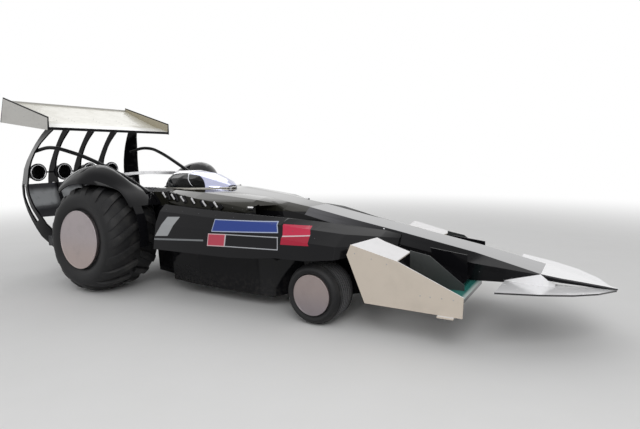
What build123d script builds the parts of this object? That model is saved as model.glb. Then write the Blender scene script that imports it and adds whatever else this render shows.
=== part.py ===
from build123d import *
import math
import os

# Open wheeled show car with a huge rear wing on five curved fins.
# Millimetres. X points to the nose, Y to the car's left, Z up. Pieces are drawn with the
# rear axle above x = 0 and the ground at z = 0, and are moved at the end so that the origin
# is under the middle of the car's length.

os.makedirs("parts", exist_ok=True)

# Axles and wheels
wheelbase = 3150
rear_tyre_radius = 685
rear_tyre_half_width = 395
rear_wheel_y = 860
rear_rim_radius = 330
rear_disc_radius = 361
lug_height = 32
lug_count = 17
front_tyre_radius = 307
front_tyre_half_width = 195
front_wheel_y = 685
front_rim_radius = 203
kingpin_y = 600
kingpin_radius = 14
rim_wall = 20
rear_spindle_radius = 60
axle_tube_radius = 75
front_spindle_radius = 28
arm_offset = 85
arm_base = 115
arm_radius = 12
arm_root_y = 345
arm_eye_radius = 32
arm_eye_height = 26
steer_arm = 85
steer_arm_height = 20
rack_radius = 11
rack_eye_height = 28
damper_y = 370
damper_radius = 38

# Clearances
running_gap = 0.05
seat_gap = 0.3
moving_gap = 12
knuckle_gap = 1

# Body levels and widths
deck_z = 1285
cowl_z = 1060
wall = 28
side_y = 700
arch_half = 440
bulkhead_x = 420
dash_x = 1680
dash_depth = 60
spine_half = 200
nose_overhang = 2030
blade_length = 600
blade = 14
footwell_half = 260
footwell_top_z = 730
footwell_length = 700
gill_count = 7
gill_radius = 24

# Canopy
sill_z = 1300
canopy_top_z = 1510
canopy_rear_x = 560
canopy_front_x = 1440
canopy_half = 400
glass = 8
frame_width = 26
hinge_radius = 6

# Tail
inner_fin_y = 420
fin_foot_x = -1150
rib_thickness = 26
wing_half = 1066
wing_front_x = -860
wing_front_z = 2129
wing_rear_x = -1944
wing_rear_z = 2540
wing_thickness = 30
plate = 12
rear_most_x = -2030
hoop_radius = 26
trumpet_radius = 135
trumpet_throat = 104
trumpet_length = 150
trumpet_x = -1840
inner_trumpet_y = 225
outer_trumpet_y = 650
trumpet_z = 1490
stay_radius = 12
fender_wall = 14
engine_half = 270
engine_top_z = 1180
rail_low_z = 470
rail_top_z = 560
rail_y = 300
rail_width = 44
tow_bore_radius = 20
tow_eye_x = -1215
tow_eye_y = 192
tow_eye_thickness = 24

# Front wing
front_wing_half = 905
front_wing_x = wheelbase + 1510
front_wing_z = 480
front_wing_chord = 420
front_wing_thickness = 30
fence_y = 640
pylon_y = 395
sheet = 10

# Sizes that follow from the others
axle_z = rear_tyre_radius
hub_z = front_tyre_radius
split_x = wheelbase - 410
nose_end_x = wheelbase + nose_overhang
nose_tip_x = nose_end_x + blade_length
rear_wall_x = rear_tyre_radius + moving_gap + 263
engine_low_z = axle_z + axle_tube_radius + 15
fender_radius = rear_tyre_radius + 60
trumpet_places = (-outer_trumpet_y, -inner_trumpet_y, inner_trumpet_y, outer_trumpet_y)

pieces = {}


def outline(x, points):
    """Closed wire at station x through (y, z) points."""
    return Wire.make_polygon([(x, y, z) for y, z in points], close=True)


def mirrored(half):
    """Whole outline from the (y, z) points of the left half, from top to bottom."""
    return half + [(-y, z) for y, z in reversed(half)]


def loft_rows(rows, shape, grow=0):
    """Solid with straight sides between the outlines that shape makes of each row."""
    return Solid.make_loft([outline(row[0], shape(row, grow)) for row in rows], True)


def box(x, y, z):
    """Block between the pairs x, y and z."""
    size = [hi - lo for lo, hi in (x, y, z)]
    middle = [(hi + lo) / 2 for lo, hi in (x, y, z)]
    return Pos(*middle) * Box(*size)


def side_plate(points, y, thickness):
    """Plate through (x, z) points that grows by thickness along +Y from y."""
    wire = Wire.make_polygon([(px, y, pz) for px, pz in points], close=True)
    return extrude(Face(wire), amount=thickness, dir=(0, 1, 0))


def curve(points):
    """Path of straight runs and arcs, each arc as large as its two runs allow."""
    radii = []
    for before, here, after in zip(points, points[1:], points[2:]):
        first = Vector(*here) - Vector(*before)
        second = Vector(*after) - Vector(*here)
        half_turn = math.radians(first.get_angle(second)) / 2
        radii.append(0.45 * min(first.length, second.length) / math.tan(half_turn))
    return FilletPolyline(*points, radius=radii)


def curved_plate(back, front, y, thickness):
    """Plate between two smooth curves of (x, z) points that grows along +Y from y."""
    rear = curve([(px, y, pz) for px, pz in back])
    fore = curve([(px, y, pz) for px, pz in front])
    edges = list(rear.edges()) + list(fore.edges())
    edges += [Edge.make_line(rear @ 0, fore @ 0), Edge.make_line(rear @ 1, fore @ 1)]
    return extrude(Face(Wire(edges)), amount=thickness, dir=(0, 1, 0))


def turned(profile, x, z):
    """Solid turned about the wheel line at (x, z) from (y, radius) points."""
    wire = Wire.make_polygon([(x, y, z + r) for y, r in profile], close=True)
    return revolve(Face(wire), Axis((x, 0, z), (0, 1, 0)), 360)


def rod(start, end, radius):
    """Round bar between two points."""
    path = Vector(*end) - Vector(*start)
    plane = Plane(origin=start, z_dir=path)
    return extrude(plane * Circle(radius), amount=path.length)


def both(shape):
    """Shape and its mirror image on the car's other side."""
    return [shape, mirror(shape, Plane.XZ)]


def left_right(name, shape):
    """Records a left piece and its mirror image as two nodes."""
    pieces[name + "_left"] = [shape]
    pieces[name + "_right"] = [mirror(shape, Plane.XZ)]


# Rear wheels

def tyre_profile(rows, middle_y):
    """Whole section from (distance from the middle, radius) rows of one half."""
    half = [(middle_y + y, r) for y, r in rows]
    return half + [(middle_y - y, r) for y, r in reversed(rows)]


def rear_carcass():
    """Balloon tyre below the lugs."""
    width = rear_tyre_half_width
    crown = rear_tyre_radius - lug_height
    rows = [(width - 95, rear_rim_radius), (width - 23, crown - 253), (width, crown - 153),
            (width - 20, crown - 85), (width - 75, crown - 38), (width - 190, crown - 10),
            (60, crown)]
    return turned(tyre_profile(rows, rear_wheel_y), 0, axle_z)


def lug_ring():
    """Envelope that the lugs are cut from."""
    width = rear_tyre_half_width
    radius = rear_tyre_radius
    rows = [(width - 8, radius - 165), (width - 22, radius - 100), (width - 75, radius - 48),
            (width - 180, radius - 14), (60, radius)]
    return turned(tyre_profile(rows, rear_wheel_y), 0, axle_z)


def lug_print(side):
    """Foot print of one swept lug above the tyre, as a face seen from above."""
    lean = 210
    width = 92
    inner_y = 12
    outer_y = rear_tyre_half_width - 21
    points = [(-width / 2, inner_y), (width / 2, inner_y), (lean + width * 0.75, outer_y),
              (lean - width * 0.75, outer_y)]
    level = 2 * rear_tyre_radius - 260
    placed = [(x, rear_wheel_y + side * y, level) for x, y in points]
    return Face(Wire.make_polygon(placed, close=True))


def rear_tyre():
    """Tyre with two staggered rows of swept lugs."""
    ring = lug_ring()
    tyre = rear_carcass()
    axis = Axis((0, 0, axle_z), (0, 1, 0))
    step = 360 / lug_count
    for side, start in ((1, 0), (-1, 0.5)):
        column = extrude(lug_print(side), amount=300, dir=(0, 0, 1))
        lug = column & ring
        for index in range(lug_count):
            tyre = tyre + lug.rotate(axis, (index + start) * step)
    return tyre


def rear_wheel():
    """Flat cover disc, rim barrel and hub on one piece."""
    face_y = rear_wheel_y + rear_tyre_half_width
    inner = rear_rim_radius - rim_wall
    bore = rear_spindle_radius + running_gap
    seat = rear_rim_radius - seat_gap
    profile = [(face_y - 695, inner), (face_y - 695, seat), (face_y - 75, seat),
               (face_y - 8, rear_disc_radius), (face_y, rear_disc_radius), (face_y, bore),
               (face_y - 255, bore), (face_y - 255, 110), (face_y - 14, 140),
               (face_y - 14, inner)]
    return turned(profile, 0, axle_z)


left_right("tyre_rear", rear_tyre())
left_right("wheel_rear", rear_wheel())


# Front wheels

def front_tyre():
    """Low front tyre with round shoulders."""
    width = front_tyre_half_width
    rows = [(width - 30, front_rim_radius), (width - 8, 226), (width, 250), (width - 14, 276),
            (width - 45, 296), (width - 85, front_tyre_radius - 2), (60, front_tyre_radius)]
    return turned(tyre_profile(rows, front_wheel_y), wheelbase, hub_z)


def front_wheel():
    """Flat cover disc, rim barrel and hub on one piece."""
    face_y = front_wheel_y + front_tyre_half_width
    inner = front_rim_radius - rim_wall
    bore = front_spindle_radius + running_gap
    seat = front_rim_radius - seat_gap
    back_y = front_wheel_y - front_tyre_half_width + 10
    profile = [(back_y, inner), (back_y, seat), (face_y, seat), (face_y, bore),
               (face_y - 100, bore), (face_y - 100, 60), (face_y - 12, 80), (face_y - 12, inner)]
    return turned(profile, wheelbase, hub_z)


left_right("tyre_front", front_tyre())
left_right("wheel_front", front_wheel())


def knuckle():
    """Upright with the kingpin, the steering arm and the wheel's spindle."""
    reach = arm_offset - arm_eye_height / 2 - knuckle_gap
    post = box((wheelbase - 34, wheelbase + 34), (kingpin_y - 26, kingpin_y + 26),
               (hub_z - reach, hub_z + reach))
    spindle_end = front_wheel_y + front_tyre_half_width - 10
    spindle = rod((wheelbase, kingpin_y, hub_z), (wheelbase, spindle_end, hub_z),
                  front_spindle_radius)
    tall = arm_offset + arm_eye_height / 2
    pin = rod((wheelbase, kingpin_y, hub_z - tall), (wheelbase, kingpin_y, hub_z + tall),
              kingpin_radius)
    arm = box((wheelbase - steer_arm - 16, wheelbase), (kingpin_y - 16, kingpin_y + 16),
              (hub_z + 20, hub_z + 20 + steer_arm_height))
    return post + spindle + pin + arm


left_right("knuckle", knuckle())


def wishbone(z):
    """Front arm of two legs that meet at the kingpin's eye."""
    arm = Pos(wheelbase, kingpin_y, z) * Cylinder(arm_eye_radius, arm_eye_height)
    for root in (-arm_base, arm_base):
        start = (wheelbase + root, arm_root_y + seat_gap, z)
        arm = arm + rod(start, (wheelbase, kingpin_y - 20, z), arm_radius)
    hole = Pos(wheelbase, kingpin_y, z) * Cylinder(kingpin_radius + running_gap, 60)
    inside = box((wheelbase - 300, wheelbase + 300), (0, arm_root_y + seat_gap), (0, 600))
    return arm - hole - inside


upper_arm = wishbone(hub_z + arm_offset)
lower_arm = wishbone(hub_z - arm_offset)
pieces["front_upper_arms"] = both(upper_arm)
pieces["front_lower_arms"] = both(lower_arm)

rack_x = wheelbase - steer_arm
rack_z = hub_z + 20 - rack_eye_height / 2 - 2


def rack_bar(reach, radius):
    """Round bar across the car on the steering rack's line."""
    return rod((rack_x, -reach, rack_z), (rack_x, reach, rack_z), radius)


def steering_rack():
    """Rack bar through the nose with an eye under each steering arm."""
    rack = rack_bar(kingpin_y - 5, rack_radius)
    for side in (-1, 1):
        rack = rack + Pos(rack_x, side * kingpin_y, rack_z) * Cylinder(18, rack_eye_height)
    return rack


pieces["steering_rack"] = [steering_rack()]


# Rear suspension

def rear_axle():
    """Cross tube with a spindle in each wheel."""
    hub_end = rear_wheel_y + rear_tyre_half_width - 255 - moving_gap
    tip = rear_wheel_y + rear_tyre_half_width - 15
    tube = rod((0, -hub_end, axle_z), (0, hub_end, axle_z), axle_tube_radius)
    return tube + rod((0, -tip, axle_z), (0, tip, axle_z), rear_spindle_radius)


def trailing_arm():
    """Link from the cabin's rear wall to the axle tube."""
    link = box((30, bulkhead_x - seat_gap), (rail_y, rail_y + rail_width), (axle_z - 30, axle_z + 30))
    return link - rod((0, 200, axle_z), (0, 500, axle_z), axle_tube_radius + seat_gap)


def rear_damper():
    """Spring and damper from the axle tube up to a bracket on the engine."""
    low = axle_z + axle_tube_radius + seat_gap
    high = engine_top_z - 90
    damper = rod((0, damper_y, low), (0, damper_y, high), damper_radius * 0.6)
    for index in range(8):
        level = low + 60 + index * 28
        damper = damper + rod((0, damper_y, level), (0, damper_y, level + 14), damper_radius)
    bracket = box((-40, 40), (engine_half + seat_gap, damper_y + 25), (high - 30, high))
    return damper + bracket


pieces["rear_axle"] = [rear_axle()]
pieces["rear_trailing_arms"] = both(trailing_arm())
pieces["rear_dampers"] = both(rear_damper())


# Body

tub_rows = [
    # x, top z, top half, crown, shoulder z, half, waist z, half, floor z, half
    (bulkhead_x, deck_z, 380, 0, 1240, arch_half, 1100, arch_half, 165, 340),
    (rear_wall_x, deck_z, 380, 0, 1240, arch_half, 1100, arch_half, 165, arch_half),
    (rear_wall_x + 30, deck_z, 430, 8, 1268, 690, 1150, side_y, 165, 620),
    (canopy_front_x, 1279, 330, 16, 1205, side_y, cowl_z, side_y, 150, 640),
    (dash_x + dash_depth, 1250, 279, 20, 1169, 676, 1026, 676, 146, 640),
    (wheelbase - 1000, 1206, 210, 24, 1120, 640, 980, 640, 140, 640),
    (wheelbase - 670, 1150, spine_half, 4, 1080, 330, 900, 380, 130, 600),
    (split_x, 1108, spine_half, 0, 1030, 310, 850, 340, 170, 330),
]

nose_rows = [
    # the same columns
    tub_rows[-1],
    (wheelbase + 150, 996, spine_half, 0, 900, 290, 760, 300, 190, 300),
    (wheelbase + 650, 904, spine_half, 0, 790, 285, 690, 280, 300, 260),
    (wheelbase + 1450, 748, 205, 0, 650, 262, 600, 252, 480, 230),
    (nose_end_x, 606, 235, 0, 598, 238, 550, 215, 500, 190),
]


def tub_shape(row, grow):
    """Outline of the central body at one row of the table, let out by grow."""
    top_z, top_half, crown, shoulder_z, shoulder, waist_z, waist, low_z, low = row[1:]
    between = ((top_half + shoulder) / 2 + grow, (top_z + shoulder_z) / 2 + crown + grow)
    return mirrored([(top_half + grow, top_z + grow), between, (shoulder + grow, shoulder_z),
                     (waist + grow, waist_z), (low + grow, low_z - grow)])


def cabin_shape(row, grow):
    """Outline of the hollow inside the central body, let out by grow."""
    top_z, top_half, crown, shoulder_z, shoulder, waist_z, waist, low_z, low = row[1:]
    side = 2 * wall - grow
    skin = wall - grow
    return mirrored([(top_half - skin, top_z - skin), (shoulder - side, shoulder_z - 2 * wall),
                     (waist - side, waist_z), (low - side, low_z + skin)])


def cabin(grow):
    """Hollow of the central body, let out by grow."""
    rows = [list(row) for row in tub_rows[:5]]
    rows[0][0] = bulkhead_x + wall
    return loft_rows(rows, cabin_shape, grow)


def footwell():
    """Tunnel for the legs ahead of the dashboard."""
    floor = tub_rows[0][8] + wall
    start = dash_x + dash_depth
    return box((start - wall, start + footwell_length), (-footwell_half, footwell_half),
               (floor, footwell_top_z))


canopy_rows = [
    # x, half width, top z
    (canopy_rear_x, 330, canopy_top_z - 6),
    (canopy_rear_x + 260, canopy_half, canopy_top_z),
    (canopy_rear_x + 500, canopy_half - 20, canopy_top_z - 30),
    (canopy_front_x - 160, 260, canopy_top_z - 110),
    (canopy_front_x, 90, canopy_top_z - 185),
]


def canopy_plan(inset, low, high):
    """Canopy foot print drawn in by inset, from the level low up to high."""
    left = [(canopy_rear_x + inset, canopy_rows[0][1] - inset)]
    left += [(x, half - inset) for x, half, top_z in canopy_rows[1:-1]]
    left += [(canopy_front_x - inset, canopy_rows[-1][1] - inset)]
    points = left + [(x, -y) for x, y in reversed(left)]
    wire = Wire.make_polygon([(x, y, low) for x, y in points], close=True)
    return extrude(Face(wire), amount=high - low, dir=(0, 0, 1))


def intake(side):
    """Side intake's pocket behind the recess above the side pod."""
    ends = sorted((side * 350, side * 560))
    return box((wheelbase - 1090, wheelbase - 600), ends, (1000, 1128))


def central_body():
    """Whole body between the bulkhead and the nose, hollow and open under the canopy."""
    mouth = canopy_plan(frame_width, footwell_top_z, deck_z + 100)
    body = loft_rows(tub_rows, tub_shape) - cabin(0) - footwell() - mouth
    return body - intake(1) - intake(-1)


whole_body = central_body()
over = box((0, split_x + 100), (-900, 900), (cowl_z, deck_z + 200))
pieces["tub"] = [whole_body - over]
pieces["cowl"] = [whole_body & over]


def nose_cone():
    """Solid nose ahead of the cabin, with pads for the front arms and the rack's bore."""
    cone = loft_rows(nose_rows, tub_shape)
    for root in (-arm_base, arm_base):
        for z in (hub_z - arm_offset, hub_z + arm_offset):
            cone = cone + box((wheelbase + root - 40, wheelbase + root + 40),
                              (-arm_root_y, arm_root_y), (z - 20, z + 20))
    return cone - rack_bar(kingpin_y, rack_radius + seat_gap)


pieces["nose_cone"] = [nose_cone()]

rear_pod_rows = [
    # x, inner y, z, top y, z, side y, z, lip y, z
    (rear_wall_x + 30, 690, 1120, 745, 1120, 900, 900, 945, 600),
    (dash_x + dash_depth, 640, 1085, 745, 1080, 900, 880, 945, 600),
    (wheelbase - 1000, 600, 1020, 750, 1065, 900, 870, 945, 605),
    (wheelbase - 670, 300, 975, 720, 1052, 900, 865, 943, 625),
    (split_x, 290, 950, 660, 1035, 900, 860, 940, 655),
]

front_pod_rows = [
    # the same columns
    rear_pod_rows[-1],
    (wheelbase - 50, 250, 905, 490, 988, 890, 830, 930, 655),
    (wheelbase + 250, 240, 880, 345, 945, 820, 800, 870, 680),
    (wheelbase + 550, 215, 860, 245, 906, 560, 790, 600, 730),
    (wheelbase + 710, 205, 840, 222, 872, 330, 790, 350, 750),
]


def pod_shape(row, grow):
    """Outline of a side pod at one row of the table, with a rounded upper edge."""
    inner_y, inner_z, top_y, top_z, side_y_here, side_z, lip_y, lip_z = row[1:]
    round_y = top_y + 0.55 * (side_y_here - top_y)
    round_z = top_z - 0.35 * (top_z - side_z)
    return [(inner_y, inner_z), (top_y, top_z), (round_y, round_z), (side_y_here, side_z),
            (lip_y, lip_z), (inner_y, lip_z)]


rear_pod = loft_rows(rear_pod_rows, pod_shape) - loft_rows(tub_rows, tub_shape, seat_gap)
front_pod = loft_rows(front_pod_rows, pod_shape) - loft_rows(nose_rows, tub_shape, seat_gap)
left_right("side_pod", rear_pod.solids().sort_by(SortBy.VOLUME)[-1])
left_right("front_pod", front_pod.solids().sort_by(SortBy.VOLUME)[-1])


def gills():
    """Row of slanted louvres on the shoulder above the side pod."""
    body = loft_rows(tub_rows, tub_shape, seat_gap)
    start = rear_wall_x + 25
    stop = dash_x + 120
    stubs = []
    for index in range(gill_count):
        share = index / (gill_count - 1)
        x = start + (stop - start) * share
        top = 1268 - 138 * share
        low = top - 98 + 60 * share
        y = side_y - 2 - 28 * share * share
        stub = rod((x, y, top), (x + 45, y, low), gill_radius)
        stubs += both((stub - body).solids().sort_by(SortBy.VOLUME)[-1])
    return stubs


def side_lamp():
    """Round lamp at the recess's rear end."""
    lamp = rod((wheelbase - 1000, 600, 1104), (wheelbase - 905, 600, 1104), 22)
    return (lamp - loft_rows(tub_rows, tub_shape, seat_gap)).solids().sort_by(SortBy.VOLUME)[-1]


pieces["gills"] = gills()
pieces["side_lamps"] = both(side_lamp())

blade_rows = [
    # share of the blade's length, half width, top z
    (0, 235, 606),
    (0.27, 182, 573),
    (0.5, 115, 546),
    (0.75, 50, 517),
    (1, 8, 491),
]


def nose_blade():
    """Pointed leaf that carries the nose forward to the tip."""
    wires = []
    for share, half, z in blade_rows:
        x = nose_end_x + seat_gap + share * (blade_length - seat_gap)
        wires.append(outline(x, mirrored([(half, z), (half, z - blade)])))
    return Solid.make_loft(wires, True)


canard_plan = [
    # distance behind the tip, y
    (910, 150), (885, 869), (560, 696), (327, 514), (149, 294), (36, 55), (8, 2),
]


def canard():
    """Left fin with a bowed leading edge, from the nose's side to the tip."""
    points = []
    for behind, y in canard_plan:
        points.append((nose_tip_x - behind, y, 475 + 0.0183 * behind + 0.0815 * y))
    fin = extrude(Face(Wire.make_polygon(points, close=True)), amount=-blade, dir=(0, 0, 1))
    return fin - loft_rows(nose_rows, tub_shape, seat_gap)


pieces["nose_blade"] = [nose_blade()]
pieces["canards"] = both(canard())


# Canopy and cabin

def canopy_body(inset):
    """Closed canopy hump, drawn in by inset."""
    wires = []
    for x, half, top_z in canopy_rows:
        points = [(half - inset, sill_z)]
        for index in range(8):
            angle = math.radians(22.5 * (index + 0.5))
            points.append(((half - inset) * math.cos(angle),
                           sill_z + (top_z - inset - sill_z) * math.sin(angle)))
        wires.append(outline(x, points + [(-half + inset, sill_z)]))
    return Solid.make_loft(wires, True)


hinge_x = canopy_front_x + 8
hinge_z = deck_z + seat_gap + 2 * hinge_radius


def canopy_frame():
    """Sill ring under the canopy's edge, with the hinge's eyes at its front."""
    ring = canopy_plan(0, deck_z + seat_gap, sill_z) - canopy_plan(frame_width, deck_z, sill_z + 1)
    for side in (-1, 1):
        ends = sorted((side * 20, side * 44))
        ring = ring + box((hinge_x - 30, hinge_x + 9), ends, (deck_z + 3, sill_z))
    return ring - rod((hinge_x, -60, hinge_z), (hinge_x, 60, hinge_z), hinge_radius + running_gap)


def canopy_hinge():
    """Pin on two brackets that stand on the deck."""
    hinge = rod((hinge_x, -66, hinge_z), (hinge_x, 66, hinge_z), hinge_radius)
    for side in (-1, 1):
        ends = sorted((side * 52, side * 66))
        hinge = hinge + box((hinge_x - 7, hinge_x + 14), ends, (deck_z - 40, sill_z))
    return hinge - loft_rows(tub_rows, tub_shape, seat_gap)


def roof_rail():
    """Rail behind the canopy that runs back over the open deck."""
    start = canopy_rear_x - seat_gap
    top = [(start, 1500), (-100, 1500), (-700, 1462), (-1000, 1400)]
    low = [(-1000, 1370), (-700, 1425), (-100, 1460), (start, 1460)]
    rail = side_plate(top + low, -150, 300)
    rear_foot = box((-900, -820), (-60, 60), (engine_top_z + seat_gap, 1400))
    return rail + rear_foot + box((440, 520), (-60, 60), (deck_z + seat_gap, 1480))


def seat():
    """Reclined bucket as one closed soft solid."""
    floor = tub_rows[1][8] + wall + seat_gap
    points = [(620, 260), (600, 700), (520, 1180), (600, 1200), (740, 760), (820, 420),
              (1260, 400), (1300, 300), (1260, floor + 5), (700, floor)]
    return side_plate(points, -230, 460)


def steering_wheel():
    """Rim and hub on a column from the dashboard."""
    reach = 350
    slope = math.radians(16.6)
    rim_middle = (dash_x - reach - 15, 0, 1014.5)
    hub_front = (dash_x - reach - 30, 0, 1019)
    hub_back = (dash_x - reach, 0, 1010)
    root = (dash_x, 0, 1010 - reach * math.tan(slope))
    column = rod(hub_back, root, 18) - box((dash_x, dash_x + 60), (-50, 50), (800, 1000))
    tilted = Pos(*rim_middle) * Rot(0, -73.4, 0)
    rim = tilted * Torus(150, 14)
    return column + rod(hub_back, hub_front, 45) + rim + tilted * Box(30, 300, 10)


pieces["canopy_glass"] = [canopy_body(0) - canopy_body(glass)]
pieces["canopy_frame"] = [canopy_frame()]
pieces["canopy_hinge"] = [canopy_hinge()]
pieces["roof_rail"] = [roof_rail()]
pieces["seat"] = [seat()]
pieces["steering_wheel"] = [steering_wheel()]
dash = box((dash_x + seat_gap, dash_x + dash_depth), (-800, 800), (footwell_top_z + 10, 1090))
pieces["dashboard"] = [dash & cabin(-seat_gap)]


# Tail

wing_top = [(wing_front_x, wing_front_z), (-1200, 2232), (-1560, 2376),
            (wing_rear_x, wing_rear_z)]
fin_back = [(-1380, 2300), (-1700, 1940), (-1955, 1500), (-1950, 1110), (-1640, 690),
            (fin_foot_x, 400)]
fin_front = [(-1150, 2300), (-1400, 2110), (-1600, 1930), (-1790, 1600), (-1660, 1180),
             (-1430, 840), (fin_foot_x, 640)]
fin_slot = [(-1880, 1330), (-1882, 1130), (-1740, 890), (-1640, 770), (-1560, 810),
            (-1690, 1000), (-1740, 1190), (-1770, 1330)]
outer_fin_rows = [
    # rear edge x, y, z, front edge x, y, z
    (-1285, 665, 2300, -1100, 625, 2300),
    (-1425, 712, 2175, -1230, 702, 2175),
    (-1535, 752, 2050, -1335, 775, 2050),
    (-1625, 788, 1925, -1415, 845, 1925),
    (-1697, 820, 1800, -1475, 897, 1800),
    (-1755, 850, 1675, -1515, 930, 1675),
    (-1793, 875, 1550, -1538, 955, 1550),
    (-1820, 900, 1300, -1545, 980, 1300),
    (-1808, 900, 1170, -1525, 975, 1185),
    (-1775, 895, 1050, -1485, 960, 1075),
    (-1725, 885, 925, -1440, 945, 990),
    (-1655, 870, 800, -1385, 925, 915),
    (-1565, 858, 680, -1330, 905, 840),
    (-1460, 845, 565, -1285, 885, 765),
    (fin_foot_x + 20, 830, 392, fin_foot_x + 20, 840, 632),
]


def wing_plane():
    """Main rear wing as a shallow curved trough."""
    low = [(x, z - wing_thickness) for x, z in reversed(wing_top)]
    return side_plate(wing_top + low, -wing_half + plate, 2 * (wing_half - plate))


def above_wing():
    """Space over the wing's under side, where the fins stop."""
    low = [(x, z - wing_thickness) for x, z in wing_top]
    first_x = low[0][0] + 300
    points = [(first_x, 2010)] + low + [(wing_rear_x, 2900), (first_x, 2900)]
    return side_plate(points, -wing_half, 2 * wing_half)


def trimmed(fin):
    """Fin cut off at the wing's under side and at the beam that carries it."""
    ahead = box((fin_foot_x, 0), (-1500, 1500), (300, 900))
    return (fin - above_wing() - ahead).solids().sort_by(SortBy.VOLUME)[-1]


def slot(shift, y):
    """Opening in the wide lower part of a fin."""
    points = [(x + shift, z) for x, z in fin_slot]
    return side_plate(points, y - 200, 400)


def inner_fin(y):
    """Flat curved fin with a slot in its wide lower part."""
    fin = curved_plate(fin_back, fin_front, y - rib_thickness / 2, rib_thickness)
    return trimmed(fin - slot(0, y))


def outer_fin():
    """Left outer fin, which also bows outwards and toes out."""
    half = rib_thickness / 2
    wires = []
    for rear_x, rear_y, rear_z, front_x, front_y, front_z in outer_fin_rows:
        points = [(rear_x, rear_y - half, rear_z), (rear_x, rear_y + half, rear_z),
                  (front_x, front_y + half, front_z), (front_x, front_y - half, front_z)]
        wires.append(Wire.make_polygon(points, close=True))
    return trimmed(Solid.make_loft(wires, True) - slot(125, outer_fin_rows[7][1]))


def wing_end_plate():
    """Left end plate of the rear wing, tall at the rear."""
    points = [(wing_front_x, wing_front_z - 44), (wing_front_x, wing_front_z + 129),
              (wing_rear_x, wing_rear_z + 52), (rear_most_x, wing_rear_z - 300)]
    return side_plate(points, wing_half - plate, plate)


inner_panel = [(-1740, 1330), (-1700, 1185), (-1625, 1000), (-1500, 830)]
outer_panel = [(-1600, 1330), (-1572, 1185), (-1505, 1000), (-1400, 860)]


def panel_outline(points, y):
    """Closed thin outline at y whose front follows (x, z) points."""
    back = [(x - sheet, z - sheet / 2) for x, z in reversed(points)]
    return Wire.make_polygon([(x, y, z) for x, z in points + back], close=True)


def tail_panels():
    """Left sheets that close the lower tail between one fin and the next."""
    inner = panel_outline(inner_panel, 0), panel_outline(inner_panel, inner_fin_y)
    outer = panel_outline(inner_panel, inner_fin_y), panel_outline(outer_panel, 990)
    panels = []
    for wires in (inner, outer):
        sheets = Solid.make_loft(wires, True)
        for fin in ribs:
            sheets = sheets - fin
        panels.append(sheets.solids().sort_by(SortBy.VOLUME)[-1])
    return panels


ribs = [inner_fin(y) for y in (-inner_fin_y, 0, inner_fin_y)] + both(outer_fin())
outer_left_fin = ribs[3]
pieces["tail_ribs"] = ribs
pieces["tail_panels"] = [half for panel in tail_panels() for half in both(panel)]
pieces["wing_plane"] = [wing_plane()]
pieces["wing_end_plates"] = both(wing_end_plate())


def turn_face(points, start, end):
    """Solid of (y, radius) points turned about the rear axle between two angles from the top."""
    wire = Wire.make_polygon([(0, y, axle_z + r) for y, r in points], close=True)
    axis = Axis((0, 0, axle_z), (0, 1, 0))
    return revolve(Face(wire), axis, end - start).rotate(axis, start)


dome = [
    # y, radius beyond the tyre: the wide arch over the tyre
    (462, -50), (540, -15), (640, 15), (720, 90), (880, 235), (1080, 200), (1210, 80), (1236, 15),
]
band = [
    # y, radius beyond the tyre: the narrower band down the tyre's front
    (455, 0), (480, 14), (560, 36), (640, 54), (740, 62), (840, 62), (920, 57), (955, 46),
]


def skin(rows):
    """Thin closed section of (y, radius) points below the rows of one table."""
    outer = [(y, rear_tyre_radius + r) for y, r in rows]
    inner = []
    for y, r in reversed(outer):
        inner.append((y + (fender_wall if y < side_y else -fender_wall), r - fender_wall))
    return outer + inner


def section_at(points, angle):
    """Closed wire of (y, radius) points in the plane at an angle from the top."""
    turn = math.radians(angle)
    placed = [(r * math.sin(turn), y, axle_z + r * math.cos(turn)) for y, r in points]
    return Wire.make_polygon(placed, close=True)


def fender():
    """Left fender: arch over the tyre, band down its front, and a narrow foot."""
    first, last = skin(dome), skin(band)
    wires = []
    for index in range(4):
        share = index / 3
        points = [((1 - share) * a[0] + share * b[0], (1 - share) * a[1] + share * b[1])
                  for a, b in zip(first, last)]
        wires.append(section_at(points, 4 + 26 * share))
    arch = turn_face(first, -34, 4) + Solid.make_loft(wires, True) + turn_face(last, 30, 57)
    foot = [(800, fender_radius - fender_wall), (800, fender_radius),
            (925, fender_radius), (925, fender_radius - fender_wall)]
    low, high = fender_radius - 70, fender_radius - 36
    pad = [(arch_half + seat_gap, low), (arch_half + seat_gap, high), (478, high), (478, low)]
    return arch + turn_face(foot, 56, 97) + turn_face(pad, 40, 56)


left_right("fender", fender())


def hoop():
    """Left tube from the outer fin over the tyre's inside down to the fender."""
    points = [(-1590, 852, 1800), (-1260, 842, 1862), (-1000, 838, 1842), (-600, 740, 1730),
              (-200, 660, 1572), (200, 600, 1398), (480, 560, 1230)]
    path = curve(points)
    plane = Plane(origin=path @ 0, z_dir=path % 0)
    tube = sweep(plane * Circle(hoop_radius), path=path)
    below = rod((0, 300, axle_z), (0, 900, axle_z), fender_radius - 25)
    return (tube - below - fender() - outer_left_fin).solids().sort_by(SortBy.VOLUME)[-1]


pieces["side_hoops"] = both(hoop())


def trumpet(y):
    """Intake trumpet with a flared mouth, facing forward."""
    rows = [(-trumpet_length, 0), (-trumpet_length, trumpet_throat - 4),
            (-45, trumpet_throat), (-14, trumpet_radius), (0, trumpet_radius),
            (0, trumpet_radius - 15), (-40, trumpet_throat - 12),
            (plate - trumpet_length, trumpet_throat - 16), (plate - trumpet_length, 0)]
    placed = [(trumpet_x + x, y, trumpet_z + r) for x, r in rows]
    face = Face(Wire.make_polygon(placed, close=True))
    return revolve(face, Axis((trumpet_x, y, trumpet_z), (1, 0, 0)), 360)


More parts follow.
